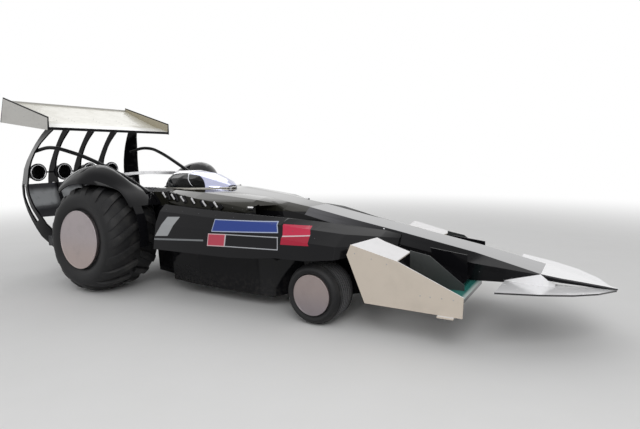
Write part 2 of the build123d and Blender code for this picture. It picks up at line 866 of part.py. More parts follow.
def trumpet_stays():
    """Short rods between the trumpets and the inner fins."""
    x = trumpet_x - 60
    reach = outer_trumpet_y
    bar = rod((x, -reach, trumpet_z), (x, reach, trumpet_z), stay_radius)
    for y in trumpet_places:
        bar = bar - Pos(x, y, trumpet_z) * Rot(0, 90, 0) * Cylinder(trumpet_throat + seat_gap, 80)
    for fin in ribs[:3]:
        bar = bar - fin
    return bar.solids()


pieces["trumpets"] = [trumpet(y) for y in trumpet_places]
pieces["trumpet_stays"] = list(trumpet_stays())

pieces["engine_block"] = [box((-900, bulkhead_x - seat_gap), (-engine_half, engine_half),
                              (engine_low_z, engine_top_z))]


def rear_frame():
    """Ladder frame under the engine, with the beam that carries the fins and the tow eye."""
    beam_x = fin_foot_x + 90
    frame = box((fin_foot_x + seat_gap, beam_x), (-940, 940), (rail_low_z, rail_top_z + 50))
    for side in (-1, 1):
        ends = sorted((side * rail_y, side * (rail_y + rail_width)))
        frame = frame + box((beam_x, bulkhead_x - seat_gap), ends, (rail_low_z, rail_top_z))
        posts = sorted((side * (engine_half - 45), side * rail_y))
        for x in (-700, 260):
            frame = frame + box((x - 40, x + 40), posts, (rail_low_z + 30, engine_low_z - seat_gap))
    eye = box((tow_eye_x - 45, fin_foot_x + 30), (tow_eye_y - 40, tow_eye_y + 40),
              (rail_low_z + 40, rail_low_z + 40 + tow_eye_thickness))
    bore = rod((tow_eye_x, tow_eye_y, 0), (tow_eye_x, tow_eye_y, rail_top_z), tow_bore_radius)
    return frame + eye - bore


pieces["rear_frame"] = [rear_frame()]


# Front wing

plate_rear_x = front_wing_x - 1089
plate_corner_x = front_wing_x - 1047
plate_fold_x = front_wing_x - 589
plate_slope = 0.2445


def front_end_plate():
    """Left end plate of the front wing, with its top folded inwards."""
    points = [(plate_rear_x, 760), (plate_corner_x, 859), (plate_fold_x, 747),
              (front_wing_x, 495), (front_wing_x - 11, 316), (front_wing_x - 908, 325)]
    fold = [
        # x, y
        (plate_corner_x, front_wing_half + plate), (plate_fold_x, front_wing_half + plate),
        (plate_fold_x, 553), (plate_fold_x - 275, 510), (plate_corner_x + 80, 470),
    ]
    edges = []
    for x, y in fold:
        level = 859 - plate_slope * (x - plate_corner_x) + 0.06 * (front_wing_half - y)
        edges.append((x, y, level))
    top = extrude(Face(Wire.make_polygon(edges, close=True)), amount=-sheet, dir=(0, 0, 1))
    skid = box((front_wing_x - 220, front_wing_x - 80),
               (front_wing_half, front_wing_half + 45), (304, 318))
    return side_plate(points, front_wing_half, plate) + top + skid


def front_plane():
    """Left half of the front wing between the nose and the end plate."""
    plane = box((front_wing_x - front_wing_chord, front_wing_x),
                (spine_half, front_wing_half - seat_gap),
                (front_wing_z - front_wing_thickness, front_wing_z))
    return plane - loft_rows(nose_rows, tub_shape, seat_gap)


flap_low = (front_wing_x - 90, front_wing_z + 40)
flap_high = (front_wing_x - 410, front_wing_z + 207)


def front_flap():
    """Second, steeper element between the nose and the fence."""
    points = [flap_high, flap_low, (flap_low[0], flap_low[1] - blade),
              (flap_high[0], flap_high[1] - blade)]
    flap = side_plate(points, spine_half, fence_y - seat_gap - spine_half)
    return flap - loft_rows(nose_rows, tub_shape, seat_gap)


def fence():
    """Upright plate on the wing that holds the second element's outer end."""
    low = front_wing_z + seat_gap
    points = [(flap_high[0], low), (flap_high[0] - 150, low + 120),
              (flap_high[0] - 150, front_wing_z + 320), (flap_high[0] + 40, front_wing_z + 285),
              (flap_low[0] + 30, low + 50), (flap_low[0] + 30, low)]
    return side_plate(points, fence_y, sheet)


def pylon():
    """Black upright plate that stands on the second element."""
    points = [(flap_high[0], flap_high[1] + seat_gap), (flap_low[0], flap_low[1] + seat_gap),
              (flap_low[0], front_wing_z + 274), (flap_high[0] - 30, front_wing_z + 315)]
    return side_plate(points, pylon_y, sheet)


pieces["front_end_plates"] = both(front_end_plate())
pieces["front_wing_planes"] = both(front_plane())
pieces["front_wing_flaps"] = both(front_flap())
pieces["front_fences"] = both(fence())
pieces["front_pylons"] = both(pylon())

# Everything is moved so that the origin is under the middle of the length

middle_x = (nose_tip_x + rear_most_x) / 2
for node, solids in pieces.items():
    shape = Compound([Pos(-middle_x, 0, 0) * solid for solid in solids])
    export_step(shape, "parts/" + node + ".step")
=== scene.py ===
"""Looks of an open wheeled show car with a huge wing on five curved fins.

Metres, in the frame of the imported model: X to the nose, Y to the car's left, Z up.
"""

import logging
import math
from dataclasses import dataclass, field
from enum import Enum
from typing import Callable, Iterable, Mapping, Sequence

import bmesh
import bpy
from mathutils import Matrix, Vector
from mathutils.bvhtree import BVHTree

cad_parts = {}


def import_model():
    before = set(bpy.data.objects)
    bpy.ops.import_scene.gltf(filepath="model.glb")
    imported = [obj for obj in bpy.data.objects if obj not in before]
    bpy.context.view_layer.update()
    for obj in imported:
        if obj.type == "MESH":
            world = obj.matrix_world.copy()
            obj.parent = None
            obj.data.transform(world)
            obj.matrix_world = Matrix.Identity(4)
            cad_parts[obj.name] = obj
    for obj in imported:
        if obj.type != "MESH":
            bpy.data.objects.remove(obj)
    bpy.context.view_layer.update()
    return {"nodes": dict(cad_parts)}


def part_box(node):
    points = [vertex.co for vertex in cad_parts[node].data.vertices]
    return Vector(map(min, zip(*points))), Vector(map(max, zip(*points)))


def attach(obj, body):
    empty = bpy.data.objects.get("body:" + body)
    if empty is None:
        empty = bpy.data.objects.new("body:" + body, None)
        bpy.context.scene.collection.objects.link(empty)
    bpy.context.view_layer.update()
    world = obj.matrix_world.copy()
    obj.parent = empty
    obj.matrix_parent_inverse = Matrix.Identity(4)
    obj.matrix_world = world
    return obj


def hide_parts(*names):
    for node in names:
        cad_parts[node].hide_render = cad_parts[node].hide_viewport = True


LOG = logging.getLogger("show_car")

Colour = tuple[float, float, float]
Pair = tuple[float, float]
Line = Sequence[Pair]
Rows = Sequence[Sequence[float]]
Spot = tuple[Vector, Vector]

REAR_AXLE_X = -1.875
FRONT_AXLE_X = 1.275
SIDES = (-1, 1)
SIDE_NAMES = {1: "left", -1: "right"}
UP, DOWN, FORWARD = Vector((0, 0, 1)), Vector((0, 0, -1)), Vector((1, 0, 0))


# Node trees

class Graph:
    """Node tree under construction, for a finish or for a pattern of pieces."""

    def __init__(self, tree: bpy.types.NodeTree) -> None:
        """Starts on an emptied tree."""
        self.tree = tree
        tree.nodes.clear()

    def node(self, kind: str, settings: Mapping[str, object] | None = None,
             inputs: Mapping[int | str, object] | None = None) -> bpy.types.Node:
        """Adds one node.

        Args:
            kind: Type of the node.
            settings: Its properties, with "stops" for a ramp's (place, grey) pairs.
            inputs: Numbers or Socks for its inputs, by name or index.

        Returns:
            The new node.
        """
        made = self.tree.nodes.new(kind)
        for name, value in (settings or {}).items():
            if name == "stops":
                self._set_stops(made.color_ramp, value)
            else:
                setattr(made, name, value)
        for key, value in (inputs or {}).items():
            if isinstance(value, Sock):
                self.tree.links.new(value.out, made.inputs[key])
            else:
                made.inputs[key].default_value = value
        return made

    def sock(self, kind: str, settings: Mapping[str, object] | None = None,
             inputs: Mapping[int | str, object] | None = None, output: int | str = 0) -> "Sock":
        """Adds one node and returns one of its outputs."""
        return Sock(self, self.node(kind, settings, inputs).outputs[output])

    @staticmethod
    def _set_stops(ramp: bpy.types.ColorRamp, stops: Sequence[tuple[float, float]]) -> None:
        """Sets a ramp's stops from (place, grey) pairs."""
        while len(ramp.elements) < len(stops):
            ramp.elements.new(1.0)
        for element, (place, grey) in zip(ramp.elements, stops):
            element.position = place
            element.color = (grey, grey, grey, 1.0)


def math_method(operation: str, swapped: bool = False) -> Callable[..., "Sock"]:
    """Makes a method that adds a Math node on a Sock and another value.

    Args:
        operation: What the node does.
        swapped: Whether the other value comes first.

    Returns:
        The method.
    """
    def method(self: "Sock", other: object = 0.0) -> "Sock":
        """Result of the operation."""
        first, second = (other, self) if swapped else (self, other)
        return self.graph.sock("ShaderNodeMath", {"operation": operation}, {0: first, 1: second})
    return method


@dataclass(frozen=True)
class Sock:
    """Output of a node that takes part in Python arithmetic."""

    graph: Graph
    out: bpy.types.NodeSocket

    __add__ = math_method("ADD")
    __radd__ = math_method("ADD", swapped=True)
    __sub__ = math_method("SUBTRACT")
    __rsub__ = math_method("SUBTRACT", swapped=True)
    __mul__ = math_method("MULTIPLY")
    __rmul__ = math_method("MULTIPLY", swapped=True)
    __truediv__ = math_method("DIVIDE")
    __pow__ = math_method("POWER")
    __abs__ = math_method("ABSOLUTE")
    sine = math_method("SINE")
    turn_from = math_method("ARCTAN2")
    least = math_method("MINIMUM")
    most = math_method("MAXIMUM")

    def __neg__(self) -> "Sock":
        """Opposite."""
        return self * -1.0

    def rise(self, low: float, high: float) -> "Sock":
        """Smooth step from 0 at low to 1 at high."""
        return self.graph.sock("ShaderNodeMapRange", {"interpolation_type": "SMOOTHSTEP"},
                               {0: self, 1: low, 2: high, 3: 0.0, 4: 1.0})


class Shade(Graph):
    """Surface of one finish: a Principled shader and what varies over it."""

    def __init__(self, name: str) -> None:
        """Starts a material with its shader and the object's own coordinates."""
        self.material = bpy.data.materials.new(name)
        self.material.use_nodes = True
        super().__init__(self.material.node_tree)
        self.surface = self.node("ShaderNodeBsdfPrincipled")
        output = self.node("ShaderNodeOutputMaterial")
        self.tree.links.new(self.surface.outputs[0], output.inputs[0])
        self.at = self.sock("ShaderNodeTexCoord", output="Object")
        parts = self.node("ShaderNodeSeparateXYZ", inputs={0: self.at})
        self.x, self.y, self.z = (Sock(self, out) for out in parts.outputs)

    def noise(self, scale: float, detail: float = 3.0,
              stretch: tuple[float, float, float] = (1.0, 1.0, 1.0)) -> Sock:
        """Cloudy value about one half.

        Args:
            scale: Clouds to a metre.
            detail: Octaves.
            stretch: Scale along each axis.

        Returns:
            The value's socket.
        """
        at = self.at
        if stretch != (1.0, 1.0, 1.0):
            at = self.sock("ShaderNodeMapping", inputs={0: at, 3: stretch})
        return self.sock("ShaderNodeTexNoise", inputs={"Vector": at, "Scale": scale,
                                                       "Detail": detail, "Roughness": 0.55})

    def about(self, x: float, z: float) -> tuple[Sock, Sock, Sock]:
        """Distances ahead of an axle, above it and from it."""
        across, up = self.x - x, self.z - z
        return across, up, (across * across + up * up) ** 0.5

    def specks(self, scale: float, size: float) -> Sock:
        """1 in small round specks and 0 between them."""
        cells = self.sock("ShaderNodeTexVoronoi", inputs={"Vector": self.at, "Scale": scale})
        return 1 - cells.rise(size * 0.6, size)

    def mix(self, share: object, first: object, second: object) -> Sock:
        """Colour between two colours, by share."""
        values = {0: share, 6: self._opaque(first), 7: self._opaque(second)}
        return self.sock("ShaderNodeMix", {"data_type": "RGBA"}, values, 2)

    @staticmethod
    def _opaque(colour: object) -> object:
        """Colour with full alpha, or the socket as it is."""
        return colour if isinstance(colour, Sock) else (*colour, 1.0)

    def set(self, **values: object) -> None:
        """Sets the shader's sockets, named with underscores, to numbers, colours or Socks."""
        for name, value in values.items():
            socket = self.surface.inputs[name.replace("_", " ")]
            if isinstance(value, Sock):
                self.tree.links.new(value.out, socket)
            else:
                socket.default_value = (*value, 1.0) if isinstance(value, tuple) else value

    def bump(self, height: Sock, distance: float, strength: float = 1.0) -> None:
        """Raises the surface by height times distance, in metres."""
        normal = self.sock("ShaderNodeBump", inputs={"Strength": strength, "Distance": distance,
                                                     "Height": height})
        self.tree.links.new(normal.out, self.surface.inputs["Normal"])

    def facing_in(self) -> Sock:
        """1 where a wall looks to the car's middle plane and 0 where it looks out."""
        normal = self.sock("ShaderNodeNewGeometry", output="True Normal")
        aside = self.sock("ShaderNodeSeparateXYZ", inputs={0: normal}, output=1)
        return (-(aside * self.y)).rise(0.3, 0.6)

    def facing_up(self, low: float, high: float, flat: bool = True) -> Sock:
        """1 where the surface looks up and 0 where it looks aside or down."""
        normal = self.sock("ShaderNodeNewGeometry", output="True Normal" if flat else "Normal")
        up = self.sock("ShaderNodeSeparateXYZ", inputs={0: normal}, output=2)
        return up.rise(low, high)


# Finishes

def scaled(colour: Colour, factor: float) -> Colour:
    """Darker or lighter colour, at most white."""
    return tuple(min(1.0, factor * channel) for channel in colour)


@dataclass(frozen=True)
class Finish:
    """Finish of a piece, named for its material and the record's slot."""

    name: str
    slot: str

    def material(self) -> bpy.types.Material:
        """Makes the material."""
        shade = Shade(self.name)
        self.dress(shade)
        return shade.material

    def dress(self, shade: Shade) -> None:
        """Sets the shader; each kind of finish has its own way."""
        raise NotImplementedError


@dataclass(frozen=True)
class Block:
    """Plain colour block on the flank, as a four-cornered patch of (x, z) points."""

    corners: tuple[tuple[float, float], ...]
    colour: Colour
    border: float = 0.0
    border_colour: Colour = (0.75, 0.76, 0.78)
    soft: float = 0.0012

    def mask(self, shade: Shade, inset: float = 0.0) -> Sock:
        """1 inside the patch.

        Args:
            shade: Surface that the patch lies on.
            inset: Distance by which the patch is drawn in.

        Returns:
            The mask's socket.
        """
        middle = [sum(c[k] for c in self.corners) / 4 for k in (0, 1)]
        inside = None
        for (x0, z0), (x1, z1) in zip(self.corners, self.corners[1:] + self.corners[:1]):
            length = math.hypot(x1 - x0, z1 - z0)
            nx, nz = (z0 - z1) / length, (x1 - x0) / length
            if (middle[0] - x0) * nx + (middle[1] - z0) * nz < 0:
                nx, nz = -nx, -nz
            offset = -(x0 * nx + z0 * nz) - inset
            edge = (shade.x * nx + shade.z * nz + offset).rise(-self.soft, self.soft)
            inside = edge if inside is None else inside * edge
        return inside

    def laid(self, shade: Shade, flank: Sock, colour: Sock) -> Sock:
        """Colour of the paint under it, with the block on the flank."""
        inner = self.mask(shade, self.border)
        if self.border:
            colour = shade.mix(self.mask(shade) * flank, colour, self.border_colour)
        fade = 0.85 + 0.3 * shade.noise(5.0, 2.0)
        tone = shade.mix(fade.least(1.0), scaled(self.colour, 0.72), self.colour)
        return shade.mix(inner * flank, colour, tone)


@dataclass(frozen=True)
class Gloss(Finish):
    """Polished dark paint under clear coat, with swirls, road dust low down and painted reflections
    on its tops.
    """

    colour: Colour = (0.005, 0.005, 0.006)
    dust_top: float = 0.45
    shine: float = 0.3
    shine_from: float = 0.55
    shine_to: float = 0.85
    ior: float = 1.24
    coat_ior: float = 1.8
    blocks: tuple[Block, ...] = ()
    flank_from: float = 0.55
    highlight_crest: tuple[float, float] | None = None
    painted_sky_tint: Colour | None = None

    def dress(self, shade: Shade) -> None:
        """Sets the shader."""
        swirls = shade.noise(90.0, 2.0, (1.0, 1.0, 0.35))
        level = shade.facing_up(self.shine_from, self.shine_to, flat=False)
        shining = level
        # Painted highlight: the coat is kept to a crest along the middle line and falls away beside
        # it.
        if self.highlight_crest is not None:
            shining = level * (1 - 0.85 * abs(shade.y).rise(*self.highlight_crest))
        dust = (1 - shade.z.rise(0.12, self.dust_top)) * shade.noise(22.0, 5.0).rise(0.42, 0.72)
        colour = shade.mix(shade.noise(1.7, 4.0) * 0.5, self.colour, scaled(self.colour, 1.9))
        # Painted reflection: faces that look up take a lighter colour.
        if self.painted_sky_tint is not None:
            colour = shade.mix(level, colour, self.painted_sky_tint)
        for block in self.blocks:
            flank = abs(shade.y).rise(self.flank_from, self.flank_from + 0.01)
            colour = block.laid(shade, flank, colour)
        colour = shade.mix(dust * 0.08, colour, (0.20, 0.18, 0.16))
        shade.set(Base_Color=colour, Roughness=0.05 + 0.05 * swirls + 0.2 * dust,
                  Coat_Weight=(0.02 + self.shine * shining) * (1 - 0.6 * dust),
                  Coat_Roughness=0.03, IOR=self.ior, Coat_IOR=self.coat_ior)
        shade.bump(shade.noise(7.0, 1.0), 0.0016, 0.25)


@dataclass(frozen=True)
class Rubber(Finish):
    """Tyre rubber with sidewall rings and dusty grain, about one wheel's axle."""

    centre_x: float = 0.0
    centre_z: float = 0.0
    radius: float = 0.5
    sipes: float = 0.0
    tread: Colour = (0.026, 0.0255, 0.026)

    def dress(self, shade: Shade) -> None:
        """Sets the shader."""
        across, up, reach = shade.about(self.centre_x, self.centre_z)
        rings = (reach * 260.0).sine() * (1 - reach.rise(self.radius * 0.80, self.radius * 0.84))
        grain = shade.noise(160.0, 4.0)
        dust = shade.noise(9.0, 4.0).rise(0.45, 0.75) * reach.rise(self.radius * 0.8, self.radius)
        tread_band = reach.rise(self.radius * 0.972, self.radius * 0.995)
        colour = shade.mix(shade.noise(4.0, 3.0), (0.008, 0.0082, 0.009), (0.016, 0.016, 0.017))
        # Partly wear and partly painted reflection: the tread band takes the tread colour, which on
        # the front tyres is light to stand in for the light the tread reflects.
        colour = shade.mix(tread_band * 0.55, colour, self.tread)
        colour = shade.mix(dust * 0.16, colour, (0.13, 0.12, 0.11))
        height = rings * 0.25 + grain * 0.5
        if self.sipes:
            slant = (up.turn_from(across) * self.sipes + shade.y * 55.0).sine()
            cut = slant.rise(0.86, 0.97) * tread_band
            height = height - cut * 6.0
            colour = shade.mix(cut * 0.8, colour, (0.006, 0.006, 0.007))
        shade.set(Base_Color=colour, Roughness=0.42 + 0.22 * grain - 0.08 * tread_band, IOR=1.36)
        shade.bump(height, 0.0012, 0.5)


@dataclass(frozen=True)
class SatinSheet(Finish):
    """Turned aluminium sheet whose faint rings run about the wheel's axle."""

    centre_x: float = 0.0
    centre_z: float = 0.0
    colour: Colour = (0.46, 0.41, 0.42)
    painted_low_tone: Colour = (0.49, 0.41, 0.39)

    def dress(self, shade: Shade) -> None:
        """Sets the shader."""
        _, up, reach = shade.about(self.centre_x, self.centre_z)
        rings = (reach * 2600.0 + shade.noise(14.0, 2.0) * 5.0).sine()
        stains = shade.noise(6.0, 5.0).rise(0.45, 0.8)
        # Painted reflection and shade: below the axle the disc turns to a second tone.
        colour = shade.mix(1 - up.rise(-0.25, 0.1), self.colour, self.painted_low_tone)
        colour = shade.mix(stains * 0.25, colour, scaled(self.colour, 0.7))
        shade.set(Base_Color=colour, Metallic=0.72, Roughness=0.40 + 0.05 * rings + 0.12 * stains)
        shade.bump(rings, 0.00005, 0.4)


@dataclass(frozen=True)
class Metal(Finish):
    """Bare or coated metal with grain, scratches and patchy grime."""

    colour: Colour = (0.55, 0.55, 0.56)
    roughness: float = 0.3
    metallic: float = 1.0
    grain: float = 60.0
    relief: float = 0.0002
    painted_lit_band: tuple[float, float] | None = None

    def dress(self, shade: Shade) -> None:
        """Sets the shader."""
        grain = shade.noise(self.grain, 4.0)
        scratches = shade.noise(35.0, 3.0, (1.0, 6.0, 1.0)).rise(0.60, 0.72)
        grime = shade.noise(11.0, 4.0).rise(0.5, 0.8)
        colour = shade.mix(grime * 0.45, self.colour, scaled(self.colour, 0.45))
        colour = shade.mix(scratches * 0.15, colour, scaled(self.colour, 1.5))
        # Painted light and shade: the colour holds only in a band between two heights; above and
        # below it turns near black.
        if self.painted_lit_band is not None:
            low, high = self.painted_lit_band
            share = shade.z.rise(low - 0.08, low + 0.03)
            share = share * (1 - shade.z.rise(high - 0.05, high + 0.04))
            colour = shade.mix(share, (0.03, 0.03, 0.035), colour)
        shade.set(Base_Color=colour, Metallic=self.metallic,
                  Roughness=self.roughness + 0.12 * grain + 0.18 * grime)
        shade.bump(grain, self.relief, 0.5)


@dataclass(frozen=True)
class TwoTone(Finish):
    """Painted sheet: one colour on what looks up, another on edges and under sides."""

    top: Colour = (0.80, 0.80, 0.81)
    side: Colour = (0.02, 0.02, 0.022)
    turn_low: float = 0.25
    turn_high: float = 0.4
    roughness: float = 0.28
    fade: Colour | None = None
    fade_from: float = 0.0
    fade_to: float = 1.0
    inside: Colour | None = None
    coat: float = 0.35

    def dress(self, shade: Shade) -> None:
        """Sets the shader."""
        grime = shade.noise(6.0, 5.0).rise(0.42, 0.8)
        specks = shade.specks(38.0, 0.10) * shade.noise(3.0, 2.0).rise(0.45, 0.6) * 0.30
        top = shade.mix(grime * 0.20, self.top, scaled(self.top, 0.74))
        if self.fade is not None:
            top = shade.mix(shade.x.rise(self.fade_from, self.fade_to), top, self.fade)
        top = shade.mix(specks, top, scaled(self.top, 0.35))
        side = shade.mix(grime * 0.35, self.side, scaled(self.side, 0.78))
        side = shade.mix(specks, side, scaled(self.side, 0.5))
        # Painted shade: faces that look toward the car's middle take the inside colour.
        if self.inside is not None:
            side = shade.mix(shade.facing_in(), side, self.inside)
        up = shade.facing_up(self.turn_low, self.turn_high)
        shade.set(Base_Color=shade.mix(up, side, top), Coat_Weight=self.coat, Coat_Roughness=0.1,
                  Roughness=self.roughness + 0.10 * grime)
        shade.bump(shade.noise(55.0, 3.0), 0.0004, 0.3)


@dataclass(frozen=True)
class Smoked(Finish):
    """Canopy glazing: near black side panes and a windscreen whose metallic lavender tint is a
    painted reflection.
    """

    tint: Colour = (0.012, 0.015, 0.016)
    hazed: Colour = (0.03, 0.03, 0.03)
    windscreen_reflection_tint: Colour = (0.58, 0.60, 0.79)
    pane_y: float = 0.205
    bend_x: float = -0.86
    bend: float = 1.85
    pane_end: float = -0.648

    def dress(self, shade: Shade) -> None:
        """Sets the shader."""
        haze = shade.noise(5.0, 4.0).rise(0.4, 0.9)
        # Painted reflection: ahead of a curved line the glass turns metallic and lavender; behind
        # it the side panes stay dark.
        edge = self.pane_y + ((shade.x - self.bend_x).most(0.0) ** 2) * self.bend
        pane = (abs(shade.y) - edge).rise(-0.004, 0.004)
        pane = pane * (1 - shade.x.rise(self.pane_end - 0.008, self.pane_end + 0.008))
        dark = shade.mix(haze * 0.3, self.tint, self.hazed)
        shade.set(Base_Color=shade.mix(pane, self.windscreen_reflection_tint, dark), Metallic=0.85 - 0.85 * pane,
                  Roughness=0.02 + 0.05 * haze, Transmission_Weight=1.0, IOR=1.2)


@dataclass(frozen=True)
class Cloth(Finish):
    """Woven trim cloth."""

    colour: Colour = (0.035, 0.036, 0.040)
    threads: float = 1500.0

    def dress(self, shade: Shade) -> None:
        """Sets the shader."""
        warp = (shade.y * self.threads).sine()
        weft = ((shade.x + shade.z * 1.3) * self.threads).sine()
        weave = warp * weft
        colour = shade.mix(weave * 0.5 + 0.5, self.colour, scaled(self.colour, 2.1))
        colour = shade.mix(shade.noise(7.0, 3.0) * 0.35, colour, scaled(self.colour, 1.6))
        shade.set(Base_Color=colour, Roughness=0.85, Sheen_Weight=0.3)
        shade.bump(weave, 0.0004, 0.5)


class Palette:
    """Materials by finish, each made once."""

    def __init__(self) -> None:
        """Starts with no material."""
        self._made: dict[Finish, bpy.types.Material] = {}

    def of(self, finish: Finish) -> bpy.types.Material:
        """Material of a finish."""
        if finish not in self._made:
            self._made[finish] = finish.material()
        return self._made[finish]


FLANK_BLOCKS = (
    Block(((-0.729, 0.986), (-0.533, 0.995), (-0.669, 0.770), (-0.878, 0.755)),
          (0.36, 0.37, 0.38)),
    Block(((-0.898, 0.728), (-0.106, 0.768), (-0.104, 0.750), (-0.899, 0.708)),
          (0.20, 0.21, 0.22)),
    Block(((-0.001, 0.997), (0.806, 1.007), (0.878, 0.901), (0.005, 0.863)),
          (0.030, 0.060, 0.27), 0.009, (0.42, 0.47, 0.62)),
    Block(((-0.041, 0.841), (0.210, 0.850), (0.207, 0.715), (-0.041, 0.705)),
          (0.48, 0.065, 0.10), 0.009, (0.66, 0.48, 0.50)),
    Block(((0.210, 0.850), (0.899, 0.866), (0.913, 0.735), (0.207, 0.715)),
          (0.008, 0.008, 0.010), 0.009, (0.45, 0.46, 0.49)),
    Block(((0.882, 0.983), (1.159, 0.965), (1.219, 0.893), (0.939, 0.880)),
          (0.56, 0.030, 0.075)),
    Block(((0.939, 0.880), (1.219, 0.893), (1.223, 0.883), (0.939, 0.868)),
          (0.66, 0.50, 0.52)),
    Block(((0.939, 0.868), (1.223, 0.883), (1.260, 0.801), (0.937, 0.794)),
          (0.40, 0.018, 0.045)),
)


class Paint(Enum):
    """Finishes of the car, by what they are used for."""

    POD = Gloss("pod_black", "black_gloss", shine=0.12, shine_from=0.9, shine_to=0.99,
                blocks=FLANK_BLOCKS)
    # Cowl: its olive tint and the colour on its up-facing faces are a painted reflection; its
    # highlight crest keeps the coat's shine to the middle line.
    COWL = Gloss("cowl_black", "black_gloss", (0.014, 0.0135, 0.010), shine=0.80,
                 highlight_crest=(0.10, 0.42), painted_sky_tint=(0.020, 0.0185, 0.012))
    # Nose: the colour on its up-facing faces is a painted reflection.
    NOSE_BLACK = Gloss("nose_black", "black_gloss", shine=0.98, coat_ior=1.8,
                       painted_sky_tint=(0.030, 0.030, 0.040))
    BLACK = Gloss("fin_black", "black_gloss", shine=0.08, ior=1.17)
    FENDER = Gloss("fender_black", "black_gloss", shine=0.18)
    REAR_RUBBER = Rubber("rear_rubber", "tyre", centre_x=REAR_AXLE_X, centre_z=0.685, radius=0.685)
    # Front tyres: the light tread colour is partly wear and partly a painted reflection.
    FRONT_RUBBER = Rubber("front_rubber", "tyre", centre_x=FRONT_AXLE_X, centre_z=0.307,
                          radius=0.307, sipes=110.0, tread=(0.24, 0.24, 0.25))
    # Discs: the lower half of each takes a second tone, painted reflection and shade.
    REAR_DISC = SatinSheet("rear_disc", "brushed_aluminium", REAR_AXLE_X, 0.685)
    FRONT_DISC = SatinSheet("front_disc", "brushed_aluminium", FRONT_AXLE_X, 0.307,
                            (0.37, 0.31, 0.30), (0.29, 0.26, 0.28))
    SCREW = Metal("screw_steel", "polished_metal", (0.42, 0.42, 0.43), 0.25)
    DARK_SCREW = Metal("dark_screw", "dark_steel", (0.10, 0.10, 0.11), 0.35)
    POLISHED = Metal("polished_lip", "polished_metal", (0.82, 0.82, 0.84), 0.07, relief=0.00005)
    STEEL = Metal("coated_steel", "dark_steel", (0.055, 0.056, 0.060), 0.38, 0.6)
    CAST = Metal("cast_metal", "cast_metal", (0.20, 0.20, 0.21), 0.5, 0.8, 240.0, 0.0006)
    # Tail sheet: light only between 1.02 m and 1.24 m, a painted band of light with painted shade
    # above and below.
    PANEL = Metal("tail_sheet", "brushed_aluminium", (0.30, 0.31, 0.32), 0.36, 0.55, 30.0,
                  painted_lit_band=(1.02, 1.24))
    SILVER = Metal("rail_silver", "silver_paint", (0.94, 0.94, 0.96), 0.16, 0.9, relief=0.0001)
    # Lamp: the near white on its up-facing dome is a painted highlight.
    LAMP = TwoTone("lamp_glass_glint", "polished_metal", (0.88, 0.88, 0.90), (0.03, 0.03, 0.032),
                   0.3, 0.6, 0.10)
    FRAME_SILVER = Metal("frame_silver", "silver_paint", (0.66, 0.67, 0.70), 0.22)
    SILL = Metal("sill_champagne", "silver_paint", (0.62, 0.60, 0.55), 0.34)
    WING = TwoTone("wing_cream", "brushed_aluminium", (0.70, 0.68, 0.60), (0.03, 0.03, 0.033),
                   0.1, 0.3, 0.34, (0.84, 0.84, 0.82), -2.95, -2.93)
    # End plates: the tan on the faces that look toward the car's middle is painted shade.
    END_PLATE = TwoTone("end_plate_grey", "brushed_aluminium", (0.60, 0.60, 0.58),
                        (0.50, 0.49, 0.46), 0.3, 0.6, 0.34, inside=(0.42, 0.38, 0.28))
    FRONT_PLATE = TwoTone("front_plate_ivory", "brushed_aluminium", (0.88, 0.87, 0.88),
                          (0.60, 0.53, 0.45), 0.4, 0.7, 0.36)
    NOSE_WHITE = TwoTone("fairing_white", "brushed_aluminium", (0.94, 0.94, 0.95),
                         (0.93, 0.93, 0.95), 0.35, 0.6, 0.22, coat=0.4)
    NOSE = TwoTone("nose_white", "brushed_aluminium", (0.96, 0.96, 0.975), (0.012, 0.012, 0.014),
                   0.35, 0.6, 0.22, coat=0.5)
    TEAL = TwoTone("plane_teal", "brushed_aluminium", (0.035, 0.22, 0.19), (0.03, 0.035, 0.038),
                   0.3, 0.6, 0.16, (0.62, 0.72, 0.70), 2.735, 2.775)
    FENCE = Metal("fence_grey", "black_gloss", (0.055, 0.060, 0.060), 0.35, 0.4)
    GLASS = Smoked("smoked_glass", "tinted_glass")
    CLOTH = Cloth("seat_cloth", "seat_fabric")
    WEBBING = Cloth("harness_webbing", "seat_fabric", (0.16, 0.012, 0.014), 900.0)
    GRIP = Cloth("wheel_grip", "dark_steel", (0.02, 0.02, 0.022), 700.0)


# Meshes

def aside(side: float) -> Vector:
    """Direction to the car's left for 1 and to its right for -1."""
    return Vector((0, side, 0))


def circle(radius: float, sides: int) -> Line:
    """Points of a circle about the origin."""
    angles = [2 * math.pi * k / sides for k in range(sides)]
    return [(radius * math.cos(angle), radius * math.sin(angle)) for angle in angles]


def oblong(wide: float, high: float) -> Line:
    """Corners of an oblong about the origin, from its half sizes."""
    return [(-wide, -high), (wide, -high), (wide, high), (-wide, high)]


def mirrored(half: Line) -> Line:
    """Other half of a section that is even about its middle."""
    return [(-along, radius) for along, radius in reversed(half)]


class Spin(Enum):
    """Axis that a turned piece is turned about."""

    CAR_LENGTH = 0
    CAR_WIDTH = 1


